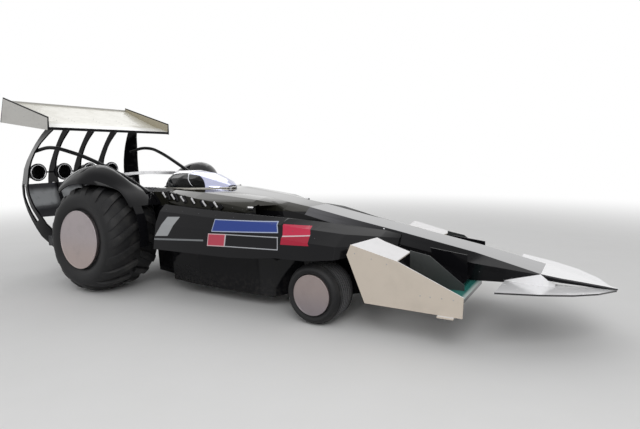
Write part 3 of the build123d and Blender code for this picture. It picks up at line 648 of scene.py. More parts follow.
class Form:
    """Mesh of one piece under construction."""

    def __init__(self) -> None:
        """Starts empty."""
        self.mesh = bmesh.new()

    @classmethod
    def copied(cls, node: bpy.types.Object) -> "Form":
        """Form that starts as a CAD node's mesh."""
        form = cls()
        form.mesh.from_mesh(node.data)
        return form

    def rings(self, rings: Sequence[Sequence[Vector]], closed: bool = True,
              capped: bool = True, looped: bool = False) -> "Form":
        """Skins a row of equally long rings of points.

        Args:
            rings: The rings, in order.
            closed: Whether each ring closes on itself.
            capped: Whether the two end rings are filled.
            looped: Whether the last ring joins the first.

        Returns:
            The form.
        """
        rows = [[self.mesh.verts.new(point) for point in ring] for ring in rings]
        pairs = list(zip(rows, rows[1:])) + ([(rows[-1], rows[0])] if looped else [])
        for first, second in pairs:
            count = len(first) if closed else len(first) - 1
            for k in range(count):
                j = (k + 1) % len(first)
                self.mesh.faces.new((first[k], first[j], second[j], second[k]))
        if capped and closed and not looped:
            self.mesh.faces.new(list(reversed(rows[0])))
            self.mesh.faces.new(rows[-1])
        return self

    def turned(self, profile: Line, centre: Vector, spin: Spin, steps: int = 48,
               closed: bool = False) -> "Form":
        """Turns (along, radius) points about an axis through a centre.

        Args:
            profile: Points of the section.
            centre: Point on the axis.
            spin: Direction of the axis.
            steps: Facets in a full turn.
            closed: Whether the section closes on itself.

        Returns:
            The form.
        """
        rings = []
        for step in range(steps):
            angle = 2 * math.pi * step / steps
            ring = []
            for along, radius in profile:
                wide, high = radius * math.cos(angle), radius * math.sin(angle)
                if spin is Spin.CAR_WIDTH:
                    ring.append(centre + Vector((wide, along, high)))
                else:
                    ring.append(centre + Vector((along, wide, high)))
            rings.append(ring)
        return self.rings(rings, closed=closed, capped=False, looped=True)

    def tube(self, path: Sequence[Vector], radius: float, sides: int = 10) -> "Form":
        """Round bar along a path of points."""
        return self.bar(path, circle(radius, sides), UP)

    def bar(self, path: Sequence[Vector], section: Line, up: Vector) -> "Form":
        """Bar with a (sideways, upwards) section along a path.

        Args:
            path: Points that the bar follows.
            section: Closed outline across it.
            up: Direction that the section's second number follows.

        Returns:
            The form.
        """
        rings = []
        for k, point in enumerate(path):
            ahead = path[min(k + 1, len(path) - 1)] - path[max(k - 1, 0)]
            ahead.normalize()
            side = ahead.cross(up).normalized()
            high = side.cross(ahead)
            rings.append([point + side * a + high * b for a, b in section])
        return self.rings(rings)

    def block(self, low: Vector, high: Vector, bevel: float) -> "Form":
        """Rounded block between two corners."""
        size = high - low
        matrix = Matrix.Translation((low + high) / 2) @ Matrix.Diagonal((*size, 1.0))
        made = bmesh.ops.create_cube(self.mesh, size=1.0, matrix=matrix)
        edges = {edge for vert in made["verts"] for edge in vert.link_edges}
        bmesh.ops.bevel(self.mesh, geom=list(edges), offset=bevel, segments=2, affect="EDGES")
        return self

    def round_edges(self, width: float) -> "Form":
        """Merges flat facets and rounds the long blunt edges between the others."""
        mesh = self.mesh
        bmesh.ops.remove_doubles(mesh, verts=mesh.verts, dist=1e-5)
        bmesh.ops.dissolve_limit(mesh, angle_limit=math.radians(1.2), verts=mesh.verts,
                                 edges=mesh.edges)
        blunt = [edge for edge in mesh.edges
                 if edge.is_manifold and edge.is_convex and edge.calc_length() > 3 * width
                 and math.radians(5) < edge.calc_face_angle() < math.radians(70)]
        bmesh.ops.bevel(mesh, geom=blunt, offset=width, segments=3, profile=0.5,
                        affect="EDGES", clamp_overlap=True)
        return self

    def piece(self, name: str, material: bpy.types.Material,
              sharp: float = 35.0) -> bpy.types.Object:
        """Turns the form into an object with outward faces.

        Args:
            name: Name of the object.
            material: Its material.
            sharp: Edges that bend more than this, in degrees, stay sharp.

        Returns:
            The object, at the origin.
        """
        bmesh.ops.remove_doubles(self.mesh, verts=self.mesh.verts, dist=1e-6)
        bmesh.ops.recalc_face_normals(self.mesh, faces=self.mesh.faces)
        data = bpy.data.meshes.new(name)
        self.mesh.to_mesh(data)
        self.mesh.free()
        return placed(name, data, material, sharp)


def placed(name: str, data: bpy.types.Mesh, material: bpy.types.Material | None,
           sharp: float = 35.0) -> bpy.types.Object:
    """Links a mesh as an object with smooth faces between its sharp edges."""
    data.name = name
    if material is not None:
        data.materials.clear()
        data.materials.append(material)
    data.polygons.foreach_set("use_smooth", [True] * len(data.polygons))
    data.set_sharp_from_angle(angle=math.radians(sharp))
    made = bpy.data.objects.new(name, data)
    bpy.context.scene.collection.objects.link(made)
    return made


def applied(piece: bpy.types.Object) -> None:
    """Turns a piece's modifiers into its mesh."""
    graph = bpy.context.evaluated_depsgraph_get()
    data = bpy.data.meshes.new_from_object(piece.evaluated_get(graph))
    piece.modifiers.clear()
    piece.data = data


class Pattern(Graph):
    """Geometry tree with named sizes that repeats a small shape."""

    def __init__(self, name: str, sizes: Mapping[str, float],
                 material: bpy.types.Material) -> None:
        """Starts the tree.

        Args:
            name: Name of the tree.
            sizes: Default of each named size; a whole number makes a whole-number input.
            material: Material of the result.
        """
        tree = bpy.data.node_groups.new(name, "GeometryNodeTree")
        super().__init__(tree)
        tree.interface.new_socket("Geometry", in_out="INPUT", socket_type="NodeSocketGeometry")
        self.identifiers = {}
        for label, value in sizes.items():
            kind = "NodeSocketInt" if isinstance(value, int) else "NodeSocketFloat"
            made = tree.interface.new_socket(label, in_out="INPUT", socket_type=kind)
            made.default_value = value
            self.identifiers[label] = made.identifier
        tree.interface.new_socket("Geometry", in_out="OUTPUT", socket_type="NodeSocketGeometry")
        self.given = self.node("NodeGroupInput")
        self.result = self.node("NodeGroupOutput")
        self.material = material

    def size(self, label: str) -> Sock:
        """Socket of a named size, or of the incoming geometry."""
        return Sock(self, self.given.outputs[label])

    def close(self, instances: Sock) -> None:
        """Realizes the instances, gives them the material and ends the tree."""
        real = self.sock("GeometryNodeRealizeInstances", inputs={0: instances})
        dressed = self.sock("GeometryNodeSetMaterial", inputs={"Geometry": real})
        dressed.out.node.inputs["Material"].default_value = self.material
        self.tree.links.new(dressed.out, self.result.inputs[0])

    def grow(self, name: str, base: bpy.types.Mesh,
             sizes: Mapping[str, float]) -> bpy.types.Object:
        """Runs the tree on a base mesh.

        Args:
            name: Name of the piece.
            base: Mesh that the tree starts from.
            sizes: Values of the named sizes.

        Returns:
            A plain mesh object.
        """
        carrier = bpy.data.objects.new(name + "_carrier", base)
        bpy.context.scene.collection.objects.link(carrier)
        modifier = carrier.modifiers.new("pattern", "NODES")
        modifier.node_group = self.tree
        for label, value in sizes.items():
            modifier[self.identifiers[label]] = value
        graph = bpy.context.evaluated_depsgraph_get()
        data = bpy.data.meshes.new_from_object(carrier.evaluated_get(graph))
        carrier.modifiers.remove(modifier)
        bpy.data.objects.remove(carrier)
        made = placed(name, data, None)
        if not data.materials:
            data.materials.append(self.material)
        return made


class Fasteners(Pattern):
    """Domed heads that sit on points and look along each point's own facing."""

    def __init__(self, material: bpy.types.Material) -> None:
        """Builds the tree."""
        super().__init__("fasteners", {"Head Radius": 0.006, "Head Height": 0.003}, material)
        radius, height = self.size("Head Radius"), self.size("Head Height")
        head = self.sock("GeometryNodeMeshCone", inputs={
            "Vertices": 10, "Radius Top": radius * 0.62,
            "Radius Bottom": radius, "Depth": height})
        facing = self.sock("GeometryNodeInputNamedAttribute", {"data_type": "FLOAT_VECTOR"},
                           {"Name": "facing"})
        turn = self.sock("FunctionNodeAlignRotationToVector", {"axis": "Z"}, {"Vector": facing})
        heads = self.sock("GeometryNodeInstanceOnPoints", inputs={
            "Points": self.size("Geometry"), "Instance": head, "Rotation": turn})
        self.close(heads)

    def row(self, name: str, spots: Sequence[Spot], radius: float,
            height: float) -> bpy.types.Object:
        """Sets one head on each (place, facing) spot."""
        base = bpy.data.meshes.new(name + "_spots")
        base.from_pydata([place for place, _ in spots], [], [])
        facing = base.attributes.new("facing", "FLOAT_VECTOR", "POINT")
        facing.data.foreach_set("vector", [c for _, way in spots for c in way.normalized()])
        return self.grow(name, base, {"Head Radius": radius, "Head Height": height})


class AroundAxle(Pattern):
    """Copies of one shape at equal steps about a wheel's axle."""

    def __init__(self, material: bpy.types.Material) -> None:
        """Builds the tree."""
        super().__init__("around_axle", {"Count": 17, "Start": 0.0, "Axle X": 0.0, "Axle Z": 0.0},
                         material)
        line = self.sock("GeometryNodeMeshLine", inputs={"Count": self.size("Count"),
                                                         "Offset": (0.0, 0.0, 0.0)})
        index = self.sock("GeometryNodeInputIndex")
        angle = self.size("Start") + index * (2 * math.pi) / self.size("Count")
        turn = self.sock("ShaderNodeCombineXYZ", inputs={1: angle})
        copies = self.sock("GeometryNodeInstanceOnPoints", inputs={
            "Points": line, "Instance": self.size("Geometry"), "Rotation": turn})
        real = self.sock("GeometryNodeRealizeInstances", inputs={0: copies})
        place = self.sock("ShaderNodeCombineXYZ", inputs={0: self.size("Axle X"),
                                                          2: self.size("Axle Z")})
        self.close(self.sock("GeometryNodeTransform", inputs={"Geometry": real,
                                                              "Translation": place}))


class Coils(Pattern):
    """Coil springs that stand on points."""

    def __init__(self, material: bpy.types.Material) -> None:
        """Builds the tree."""
        super().__init__("coils", {"Turns": 8.0, "Coil Radius": 0.045, "Wire Radius": 0.006,
                                   "Height": 0.24}, material)
        reach = self.size("Coil Radius")
        spiral = self.sock("GeometryNodeCurveSpiral", inputs={
            "Resolution": 18, "Rotations": self.size("Turns"), "Start Radius": reach,
            "End Radius": reach, "Height": self.size("Height")})
        wire = self.sock("GeometryNodeCurvePrimitiveCircle", inputs={
            "Resolution": 6, "Radius": self.size("Wire Radius")})
        coil = self.sock("GeometryNodeCurveToMesh", inputs={"Curve": spiral,
                                                            "Profile Curve": wire,
                                                            "Fill Caps": True})
        self.close(self.sock("GeometryNodeInstanceOnPoints", inputs={
            "Points": self.size("Geometry"), "Instance": coil}))


class Slats(Pattern):
    """Copies of one slat at points, in the slat's own position."""

    def __init__(self, material: bpy.types.Material) -> None:
        """Builds the tree."""
        super().__init__("slats", {"Length": 0.1, "Width": 0.01, "Thickness": 0.003,
                                   "Slope": 0.0}, material)
        size = self.sock("ShaderNodeCombineXYZ", inputs={
            0: self.size("Width"), 1: self.size("Thickness"), 2: self.size("Length")})
        slat = self.sock("GeometryNodeMeshCube", inputs={"Size": size})
        turn = self.sock("ShaderNodeCombineXYZ", inputs={1: self.size("Slope")})
        self.close(self.sock("GeometryNodeInstanceOnPoints", inputs={
            "Points": self.size("Geometry"), "Instance": slat, "Rotation": turn}))


def interpolated(rows: Line, place: float) -> float:
    """Value of a table of (place, value) rows at a place between them."""
    for (first, low), (second, high) in zip(rows, rows[1:]):
        if first <= place <= second:
            return low + (high - low) * (place - first) / (second - first)
    return rows[0][1] if place < rows[0][0] else rows[-1][1]


def flowing(points: Line, steps: int) -> Line:
    """Smooth line through (a, b) points, with some steps to each span."""
    ends = [points[0], *points, points[-1]]
    line = []
    for before, first, second, after in zip(ends, ends[1:], ends[2:], ends[3:]):
        for step in range(steps):
            t = step / steps
            line.append(tuple(
                0.5 * (2 * b + (c - a) * t + (2 * a - 5 * b + 4 * c - d) * t * t
                       + (3 * b - a - 3 * c + d) * t ** 3)
                for a, b, c, d in zip(before, first, second, after)))
    return line + [points[-1]]


def points_mesh(name: str, points: Iterable[Vector]) -> bpy.types.Mesh:
    """Mesh of loose points."""
    data = bpy.data.meshes.new(name)
    data.from_pydata(list(points), [], [])
    return data


# Sub-assemblies

@dataclass
class Assembly:
    """Sub-assembly of the car: dresses its CAD nodes and adds its own pieces."""

    nodes: dict[str, bpy.types.Object]
    palette: Palette
    body: str = "chassis"

    def paint(self, finish: Paint, *names: str) -> None:
        """Gives CAD nodes a finish."""
        for name in names:
            data = self.nodes[name].data
            data.materials.clear()
            data.materials.append(self.palette.of(finish.value))

    def add(self, piece: bpy.types.Object, finish: Paint, body: str | None = None) -> None:
        """Lets a finished piece ride on a body, and reports it."""
        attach(piece, body or self.body)
        LOG.info("%s rides on %s", piece.name, body or self.body)

    def fit(self, name: str, form: Form, finish: Paint, sharp: float = 35.0,
            body: str | None = None, node: str | None = None) -> None:
        """Turns a form into a piece and adds it.

        Args:
            name: Name of the piece.
            form: Its shape.
            finish: Its finish.
            sharp: Edges that bend more than this, in degrees, stay sharp.
            body: Body that it rides on, or None for the sub-assembly's own.
            node: CAD node that it stands for, if any.
        """
        piece = form.piece(name, self.palette.of(finish.value), sharp)
        if node is not None:
            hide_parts(node)
        self.add(piece, finish, body)

    def screws(self, name: str, spots: Sequence[Spot], size: Pair,
               finish: Paint = Paint.SCREW, body: str | None = None) -> None:
        """Adds a fastener of a (radius, height) size on each spot."""
        heads = Fasteners(self.palette.of(finish.value)).row(name, spots, *size)
        self.add(heads, finish, body)

    def grown(self, kind: type[Pattern], name: str, base: bpy.types.Mesh,
              sizes: Mapping[str, float], finish: Paint) -> bpy.types.Object:
        """Piece that a pattern makes from a base mesh, with its named sizes."""
        return kind(self.palette.of(finish.value)).grow(name, base, sizes)

    def landed(self, names: Sequence[str], starts: Iterable[Vector], way: Vector) -> list[Spot]:
        """First points that rays meet on some CAD nodes.

        Args:
            names: The nodes.
            starts: Starts of the rays.
            way: Direction of them all.

        Returns:
            The place and the surface's facing there, for each ray that meets one.
        """
        trees = []
        for name in names:
            data = self.nodes[name].data
            trees.append(BVHTree.FromPolygons([v.co for v in data.vertices],
                                              [tuple(p.vertices) for p in data.polygons]))
        spots: list[Spot] = []
        for start in starts:
            hits = [tree.ray_cast(start, way) for tree in trees]
            hits = [hit for hit in hits if hit[0] is not None]
            if hits:
                place, facing, _, _ = min(hits, key=lambda hit: hit[3])
                spots.append((place, facing if facing.dot(way) < 0 else -facing))
        return spots

    def soften(self, finish: Paint, width: float, sharp: float, *names: str) -> None:
        """Replaces CAD nodes by merged copies with smoother shading.

        Args:
            finish: Finish of the copies.
            width: Width of the roundings on blunt edges, or 0 for none.
            sharp: Edges that bend more than this, in degrees, stay sharp.
            *names: The nodes.
        """
        for name in names:
            form = Form.copied(self.nodes[name])
            if width:
                form.round_edges(width)
            copy = form.piece(name + "_smooth", self.palette.of(finish.value), sharp)
            if width:
                copy.modifiers.new("weighted", "WEIGHTED_NORMAL").keep_sharp = True
                applied(copy)
            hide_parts(name)
            self.add(copy, finish)

    def build(self) -> None:
        """Makes and adds the sub-assembly's pieces."""
        raise NotImplementedError


@dataclass
class Wheels(Assembly):
    """Both wheels of one axle: turned tyres, and cover discs with screws."""

    end: str = ""
    rubber: Paint = Paint.REAR_RUBBER
    sheet: Paint = Paint.REAR_DISC
    axle_x: float = 0.0
    centre_y: float = 0.0
    radius: float = 0.0
    half_width: float = 0.0
    tyre_piece: str = ""
    tyre_steps: int = 96
    tyre_sharp: float = 30.0
    # (outwards, radius) points of the hub cover and, from lip_radius on, of the rolled edge
    cover: Line = ()
    cover_steps: int = 48
    lip: Line = ()
    lip_radius: float = 0.0
    lip_steps: int = 72
    screw_count: int = 12
    screw_circle: float = 0.0
    screw_start: float = 0.0
    screw_size: Pair = (0.004, 0.0025)

    def build(self) -> None:
        """Dresses both wheels."""
        for side in SIDES:
            wheel, tyre = self.wheel(side), f"tyre_{self.end}_{SIDE_NAMES[side]}"
            self.paint(self.rubber, tyre)
            self.paint(self.sheet, wheel)
            centre = Vector((self.axle_x, side * self.centre_y, self.radius))
            form = Form().turned(self.section(), centre, Spin.CAR_WIDTH, self.tyre_steps, True)
            self.fit(f"{self.tyre_piece}_{SIDE_NAMES[side]}", form, self.rubber,
                     self.tyre_sharp, wheel, tyre)
            self._disc(side, centre + self.half_width * aside(side))

    def wheel(self, side: int) -> str:
        """Name of one wheel's body, which is also its disc's node."""
        return f"wheel_{self.end}_{SIDE_NAMES[side]}"

    def section(self) -> Line:
        """Closed (along the axle, radius) section of the tyre."""
        raise NotImplementedError

    def _disc(self, side: int, centre: Vector) -> None:
        """Adds the disc's rolled edge, its hub cover and its screws.

        Args:
            side: 1 for the left wheel and -1 for the right one.
            centre: Middle of the disc's outer face.
        """
        name, wheel = SIDE_NAMES[side], self.wheel(side)
        edge = [(side * a, self.lip_radius + b) for a, b in self.lip]
        self.fit(f"{self.end}_disc_lip_{name}",
                 Form().turned(edge, centre, Spin.CAR_WIDTH, self.lip_steps, True),
                 self.sheet, body=wheel)
        cover = [(side * a, radius) for a, radius in self.cover]
        self.fit(f"{self.end}_hub_cover_{name}",
                 Form().turned(cover, centre, Spin.CAR_WIDTH, self.cover_steps),
                 self.sheet, body=wheel)
        spots = []
        for k in range(self.screw_count):
            angle = 2 * math.pi * (k + self.screw_start) / self.screw_count
            arm = Vector((math.cos(angle), 0, math.sin(angle)))
            spots.append((centre + self.screw_circle * arm, aside(side)))
        self.screws(f"{self.end}_disc_screws_{name}", spots, self.screw_size, self.sheet, wheel)


@dataclass
class RearWheels(Wheels):
    """Balloon tyres with swept lugs on flat cover discs."""

    end: str = "rear"
    axle_x: float = REAR_AXLE_X
    centre_y: float = 0.860
    radius: float = 0.685
    half_width: float = 0.395
    rim_radius: float = 0.330
    tyre_piece: str = "rear_carcass"
    tyre_steps: int = 112
    tyre_sharp: float = 50.0
    cover: Line = ((0.0, 0.0), (0.0006, 0.03), (0.0006, 0.074), (-0.001, 0.076))
    cover_steps: int = 64
    lip: Line = ((-0.006, -0.004), (-0.004, 0.001), (0.0, 0.002), (0.003, -0.002),
                 (0.003, -0.008), (0.0, -0.011))
    lip_radius: float = 0.361
    lip_steps: int = 96
    screw_count: int = 24
    screw_circle: float = 0.342
    screw_size: Pair = (0.0045, 0.003)
    lug_height: float = 0.034
    lug_count: int = 17
    # Bead and rim guard: distance in from the tyre's side, height over the rim
    bead: Line = ((0.095, 0.002), (0.062, 0.006), (0.045, 0.020), (0.050, 0.034))
    # Side and crown: distance in from the tyre's side, depth under the lugs' foot
    wall: Line = ((0.030, 0.262), (0.012, 0.222), (0.004, 0.190), (0.0005, 0.153), (0.003, 0.122),
                  (0.010, 0.100), (0.022, 0.083), (0.045, 0.059), (0.078, 0.037), (0.130, 0.020),
                  (0.200, 0.009), (0.290, 0.002))
    # Stations of a lug: y, drop of its top, lean angle, half width
    lug_rows: Rows = (
        (0.010, 0.000, 0.000, 0.040), (0.055, 0.001, 0.030, 0.043), (0.130, 0.005, 0.085, 0.047),
        (0.210, 0.012, 0.150, 0.052), (0.275, 0.026, 0.210, 0.058), (0.325, 0.050, 0.262, 0.063),
        (0.358, 0.082, 0.305, 0.066), (0.377, 0.118, 0.335, 0.062), (0.386, 0.150, 0.352, 0.050))
    # Section of a lug: share of its half width, height against its top
    lug_section: Line = ((-1.12, -0.040), (-1.0, -0.012), (-0.90, -0.002), (-0.5, 0.0),
                         (0.5, 0.0), (0.90, -0.002), (1.0, -0.012), (1.12, -0.040))
    lug_flare: float = 0.24
    flare_from_y: float = 0.3
    lug_sharp: float = 60.0

    def build(self) -> None:
        """Dresses both wheels and adds the lugs in two staggered rows."""
        super().build()
        for side in SIDES:
            for row, share in ((1, 0.0), (-1, 0.5)):
                self._lugs(side, row, share)

    def section(self) -> Line:
        """Section of the tyre below its lugs."""
        crown = self.radius - self.lug_height
        half = [(self.half_width - a, self.rim_radius + b) for a, b in self.bead]
        half += [(self.half_width - a, crown - b) for a, b in self.wall]
        return [*half, (0.0, crown), *mirrored(half)]

    def _lug(self, row: int) -> bpy.types.Mesh:
        """One swept lug with round edges, about the origin."""
        rings = []
        for y, sunk, lean, half in self.lug_rows:
            ring = []
            for share, drop in self.lug_section:
                radius = self.radius - sunk + drop
                angle = lean + share * half / self.radius
                out = y + (self.lug_flare * drop if y >= self.flare_from_y else 0.0)
                ring.append(Vector((radius * math.sin(angle), row * out,
                                    radius * math.cos(angle))))
            rings.append(ring)
        material = self.palette.of(self.rubber.value)
        carrier = Form().rings(rings).piece("lug", material, self.lug_sharp)
        data = carrier.data
        bpy.data.objects.remove(carrier)
        return data

    def _lugs(self, side: int, row: int, share: float) -> None:
        """Adds one row of lugs.

        Args:
            side: 1 for the left wheel and -1 for the right one.
            row: 1 for the row on the axle's left end and -1 for the other.
            share: Share of a step by which the row is turned.
        """
        place = "outer" if row == side else "inner"
        lugs = self.grown(AroundAxle, f"rear_lugs_{SIDE_NAMES[side]}_{place}", self._lug(row), {
            "Count": self.lug_count, "Start": share * 2 * math.pi / self.lug_count,
            "Axle X": self.axle_x, "Axle Z": self.radius}, self.rubber)
        lugs.data.transform(Matrix.Translation(self.centre_y * aside(side)))
        self.add(lugs, self.rubber, self.wheel(side))


@dataclass
class FrontWheels(Wheels):
    """Low grooved tyres on flat cover discs."""

    end: str = "front"
    rubber: Paint = Paint.FRONT_RUBBER
    sheet: Paint = Paint.FRONT_DISC
    axle_x: float = FRONT_AXLE_X
    centre_y: float = 0.685
    radius: float = 0.307
    half_width: float = 0.195
    tyre_piece: str = "front_grooved_tyre"
    cover: Line = ((0.0, 0.0), (0.0006, 0.012), (0.0006, 0.036), (-0.001, 0.038))
    lip: Line = ((-0.005, -0.004), (-0.003, 0.001), (0.0, 0.0015), (0.002, -0.002),
                 (0.002, -0.006), (0.0, -0.008))
    lip_radius: float = 0.203
    screw_circle: float = 0.185
    screw_start: float = 0.5
    # Bead, side and shoulder: distance in from the tyre's side, radius
    wall: Line = ((0.030, 0.204), (0.016, 0.210), (0.010, 0.219), (0.012, 0.224), (0.004, 0.236),
                  (0.0, 0.252), (0.005, 0.266), (0.015, 0.2775), (0.030, 0.288), (0.047, 0.2955))
    tread_margin: float = 0.060
    tread_drop: float = 0.0025
    tread_fall: float = 0.006
    groove_count: int = 8
    groove_depth: float = 0.009
    groove_half: float = 0.0055
    groove_flare: float = 1.6

    def build(self) -> None:
        """Dresses both wheels, their knuckles and the steering."""
        super().build()
        self.paint(Paint.STEEL, "knuckle_left", "knuckle_right", "steering_rack",
                   "front_upper_arms", "front_lower_arms")

    def section(self) -> Line:
        """Section of the tyre with its circumferential grooves."""
        shoulder = [(self.half_width - a, radius) for a, radius in self.wall]
        limit = self.half_width - self.tread_margin
        floor_half, top_half = self.groove_half, self.groove_flare * self.groove_half
        tread = []
        for k in range(self.groove_count):
            y = limit * (1 - 2 * k / (self.groove_count - 1))
            top = self.radius - self.tread_drop - self.tread_fall * (abs(y) / limit) ** 3
            floor = top - self.groove_depth
            tread += [(y + top_half, top), (y + floor_half, floor),
                      (y - floor_half, floor), (y - top_half, top)]
        return [*shoulder, *tread, *mirrored(shoulder)]


@dataclass
class BodyShell(Assembly):
    """Central body, side pods, louvres and their fasteners."""

    pods: tuple[str, ...] = ("side_pod_left", "side_pod_right", "front_pod_left",
                             "front_pod_right")
    edge: float = 0.022
    edge_sharp: float = 40.0
    far_y: float = 1.3
    screw_size: Pair = (0.005, 0.002)
    # Rows of screws: x and z of the first, then the cowl's length or the nose's step, and fall
    cowl_row: tuple[float, float, float, float] = (-0.85, 1.175, 1.5, 0.16)
    nose_row: tuple[float, float, float, float] = (0.95, 1.02, 0.26, 0.064)
    cowl_screws: int = 12
    row_screws: int = 9
    pod_x: float = -0.80
    pod_y: float = 0.80
    stud_size: Pair = (0.011, 0.007)
    stud_at: Pair = (1.785, 0.913)
    # Polished strips that stand in for the glints on the louvres: x, y and z of each.
    glint_strips: Rows = (
        (-0.915, 0.727, 1.233), (-0.765, 0.727, 1.216), (-0.610, 0.725, 1.196),
        (-0.443, 0.718, 1.176), (-0.278, 0.705, 1.150), (-0.116, 0.690, 1.142))
    blade_size: Mapping[str, float] = field(default_factory=lambda: {
        "Length": 0.084, "Width": 0.021, "Thickness": 0.006, "Slope": -0.78})

    def build(self) -> None:
        """Dresses the body and adds its small parts."""
        self.paint(Paint.POD, "tub")
        self.soften(Paint.COWL, self.edge, self.edge_sharp, "cowl")
        self.soften(Paint.NOSE_BLACK, self.edge, self.edge_sharp, "nose_cone")
        self.soften(Paint.POD, self.edge, self.edge_sharp, *self.pods)
        self.paint(Paint.BLACK, "gills")
        self.paint(Paint.LAMP, "side_lamps")
        self._shell_screws()
        self._louvre_glint_strips()

    def _shell_screws(self) -> None:
        """Adds the rows of fasteners on the shell and the nose's two studs."""
        spots: list[Spot] = []
        studs: list[Spot] = []
        x0, z0, length, fall = self.cowl_row
        shares = [k / (self.cowl_screws - 1) for k in range(self.cowl_screws)]
        cowl = [(x0 + length * share, z0 - fall * share ** 2) for share in shares]
        x0, z0, step, fall = self.nose_row
        nose = [(x0 + step * k, z0 - fall * k) for k in range(self.row_screws)]
        for side in SIDES:
            for node, row in (("cowl", cowl), ("nose_cone", nose)):
                spots += self.landed((node,), [Vector((x, side * self.far_y, z)) for x, z in row],
                                     aside(-side))
            spots += self.landed(self.pods, [Vector((self.pod_x + step * k, side * self.pod_y, 1.5))
                                             for k in range(self.row_screws)], DOWN)
            x, z = self.stud_at
            studs += self.landed(("nose_cone",), [Vector((x, side * self.pod_y, z))], aside(-side))
        self.screws("shell_screws", spots, self.screw_size, Paint.DARK_SCREW)
        self.screws("seam_studs", studs, self.stud_size, Paint.POLISHED)

    def _louvre_glint_strips(self) -> None:
        """Adds a slanted polished strip beside each louvre, a painted highlight."""
        points = [Vector((x, side * y, z)) for x, y, z in self.glint_strips for side in SIDES]
        self.add(self.grown(Slats, "louvre_glint_strips", points_mesh("glint_strip_points", points),
                            self.blade_size, Paint.POLISHED), Paint.POLISHED)


@dataclass
class Fenders(Assembly):
    """Arches over the rear tyres, narrowing to a band and a foot in front of them."""

    tyre_radius: float = 0.685
    wall: float = 0.014
    # Outer lines of the arch and of the band: y, height above the tyre
    arch: Line = ((0.462, -0.050), (0.540, -0.015), (0.640, 0.015), (0.720, 0.090),
                  (0.880, 0.235), (1.080, 0.200), (1.210, 0.080), (1.236, 0.015))
    band: Line = ((0.455, 0.000), (0.480, 0.014), (0.560, 0.036), (0.640, 0.054),
                  (0.740, 0.062), (0.840, 0.062), (0.920, 0.057), (0.955, 0.046))
    # Foot and pad: y, height above the tyre and angle, from and to
    ends: Sequence[tuple[Pair, Pair, Pair]] = (
        ((0.800, 0.925), (0.046, 0.060), (56, 97)),
        ((0.4403, 0.478), (-0.010, 0.024), (40, 56)))
    rear_angle: float = -34.0
    narrow_from: float = 0.0
    narrow_to: float = 38.0
    front_angle: float = 57.0
    steps: int = 26
    end_step: float = 3.5
    bead: float = 0.006
    sharp: float = 38.0

    def build(self) -> None:
        """Replaces both CAD fenders by smooth ones."""
        for side in SIDES:
            self._fender(side)

    def _at(self, side: int, y: float, height: float, angle: float) -> Vector:
        """Point at a height above the tyre and an angle from its top, in degrees."""
        turn, radius = math.radians(angle), self.tyre_radius + height
        return Vector((REAR_AXLE_X + radius * math.sin(turn), side * y,
                       self.tyre_radius + radius * math.cos(turn)))

    def _outline(self, angle: float) -> Line:
        """Outer line of the arch's section at an angle."""
        t = min(max((angle - self.narrow_from) / (self.narrow_to - self.narrow_from), 0.0), 1.0)
        share = t * t * (3 - 2 * t)
        rows = [((1 - share) * y0 + share * y1, (1 - share) * h0 + share * h1)
                for (y0, h0), (y1, h1) in zip(self.arch, self.band)]
        return flowing(rows, 4)

    def _section(self, outline: Line) -> Line:
        """Closed section: the outer line and the line a wall's thickness below it."""
        under = []
        for k, (y, height) in enumerate(outline):
            (y0, h0), (y1, h1) = outline[max(k - 1, 0)], outline[min(k + 1, len(outline) - 1)]
            length = math.hypot(y1 - y0, h1 - h0)
            under.append((y + self.wall * (h1 - h0) / length,
                          height - self.wall * (y1 - y0) / length))
        return [*outline, *reversed(under)]

    def _fender(self, side: int) -> None:
        """Makes one fender with its foot, its pad and the beads on its edges."""
        form = Form()
        angles = [self.rear_angle + (self.front_angle - self.rear_angle) * k / self.steps
                  for k in range(self.steps + 1)]
        outlines = [self._outline(angle) for angle in angles]
        form.rings([[self._at(side, y, height, angle) for y, height in self._section(outline)]
                    for outline, angle in zip(outlines, angles)])
        for (y0, y1), (h0, h1), (start, end) in self.ends:
            count = max(2, round((end - start) / self.end_step))
            corners = ((y0, h0), (y0, h1), (y1, h1), (y1, h0))
            form.rings([[self._at(side, y, height, start + (end - start) * k / count)
                         for y, height in corners] for k in range(count + 1)])
        for edge in (0, -1):
            form.tube([self._at(side, *outline[edge], angle)
                       for outline, angle in zip(outlines, angles)], self.bead, 8)
        name = SIDE_NAMES[side]
        self.fit("fender_smooth_" + name, form, Paint.FENDER, self.sharp, node="fender_" + name)


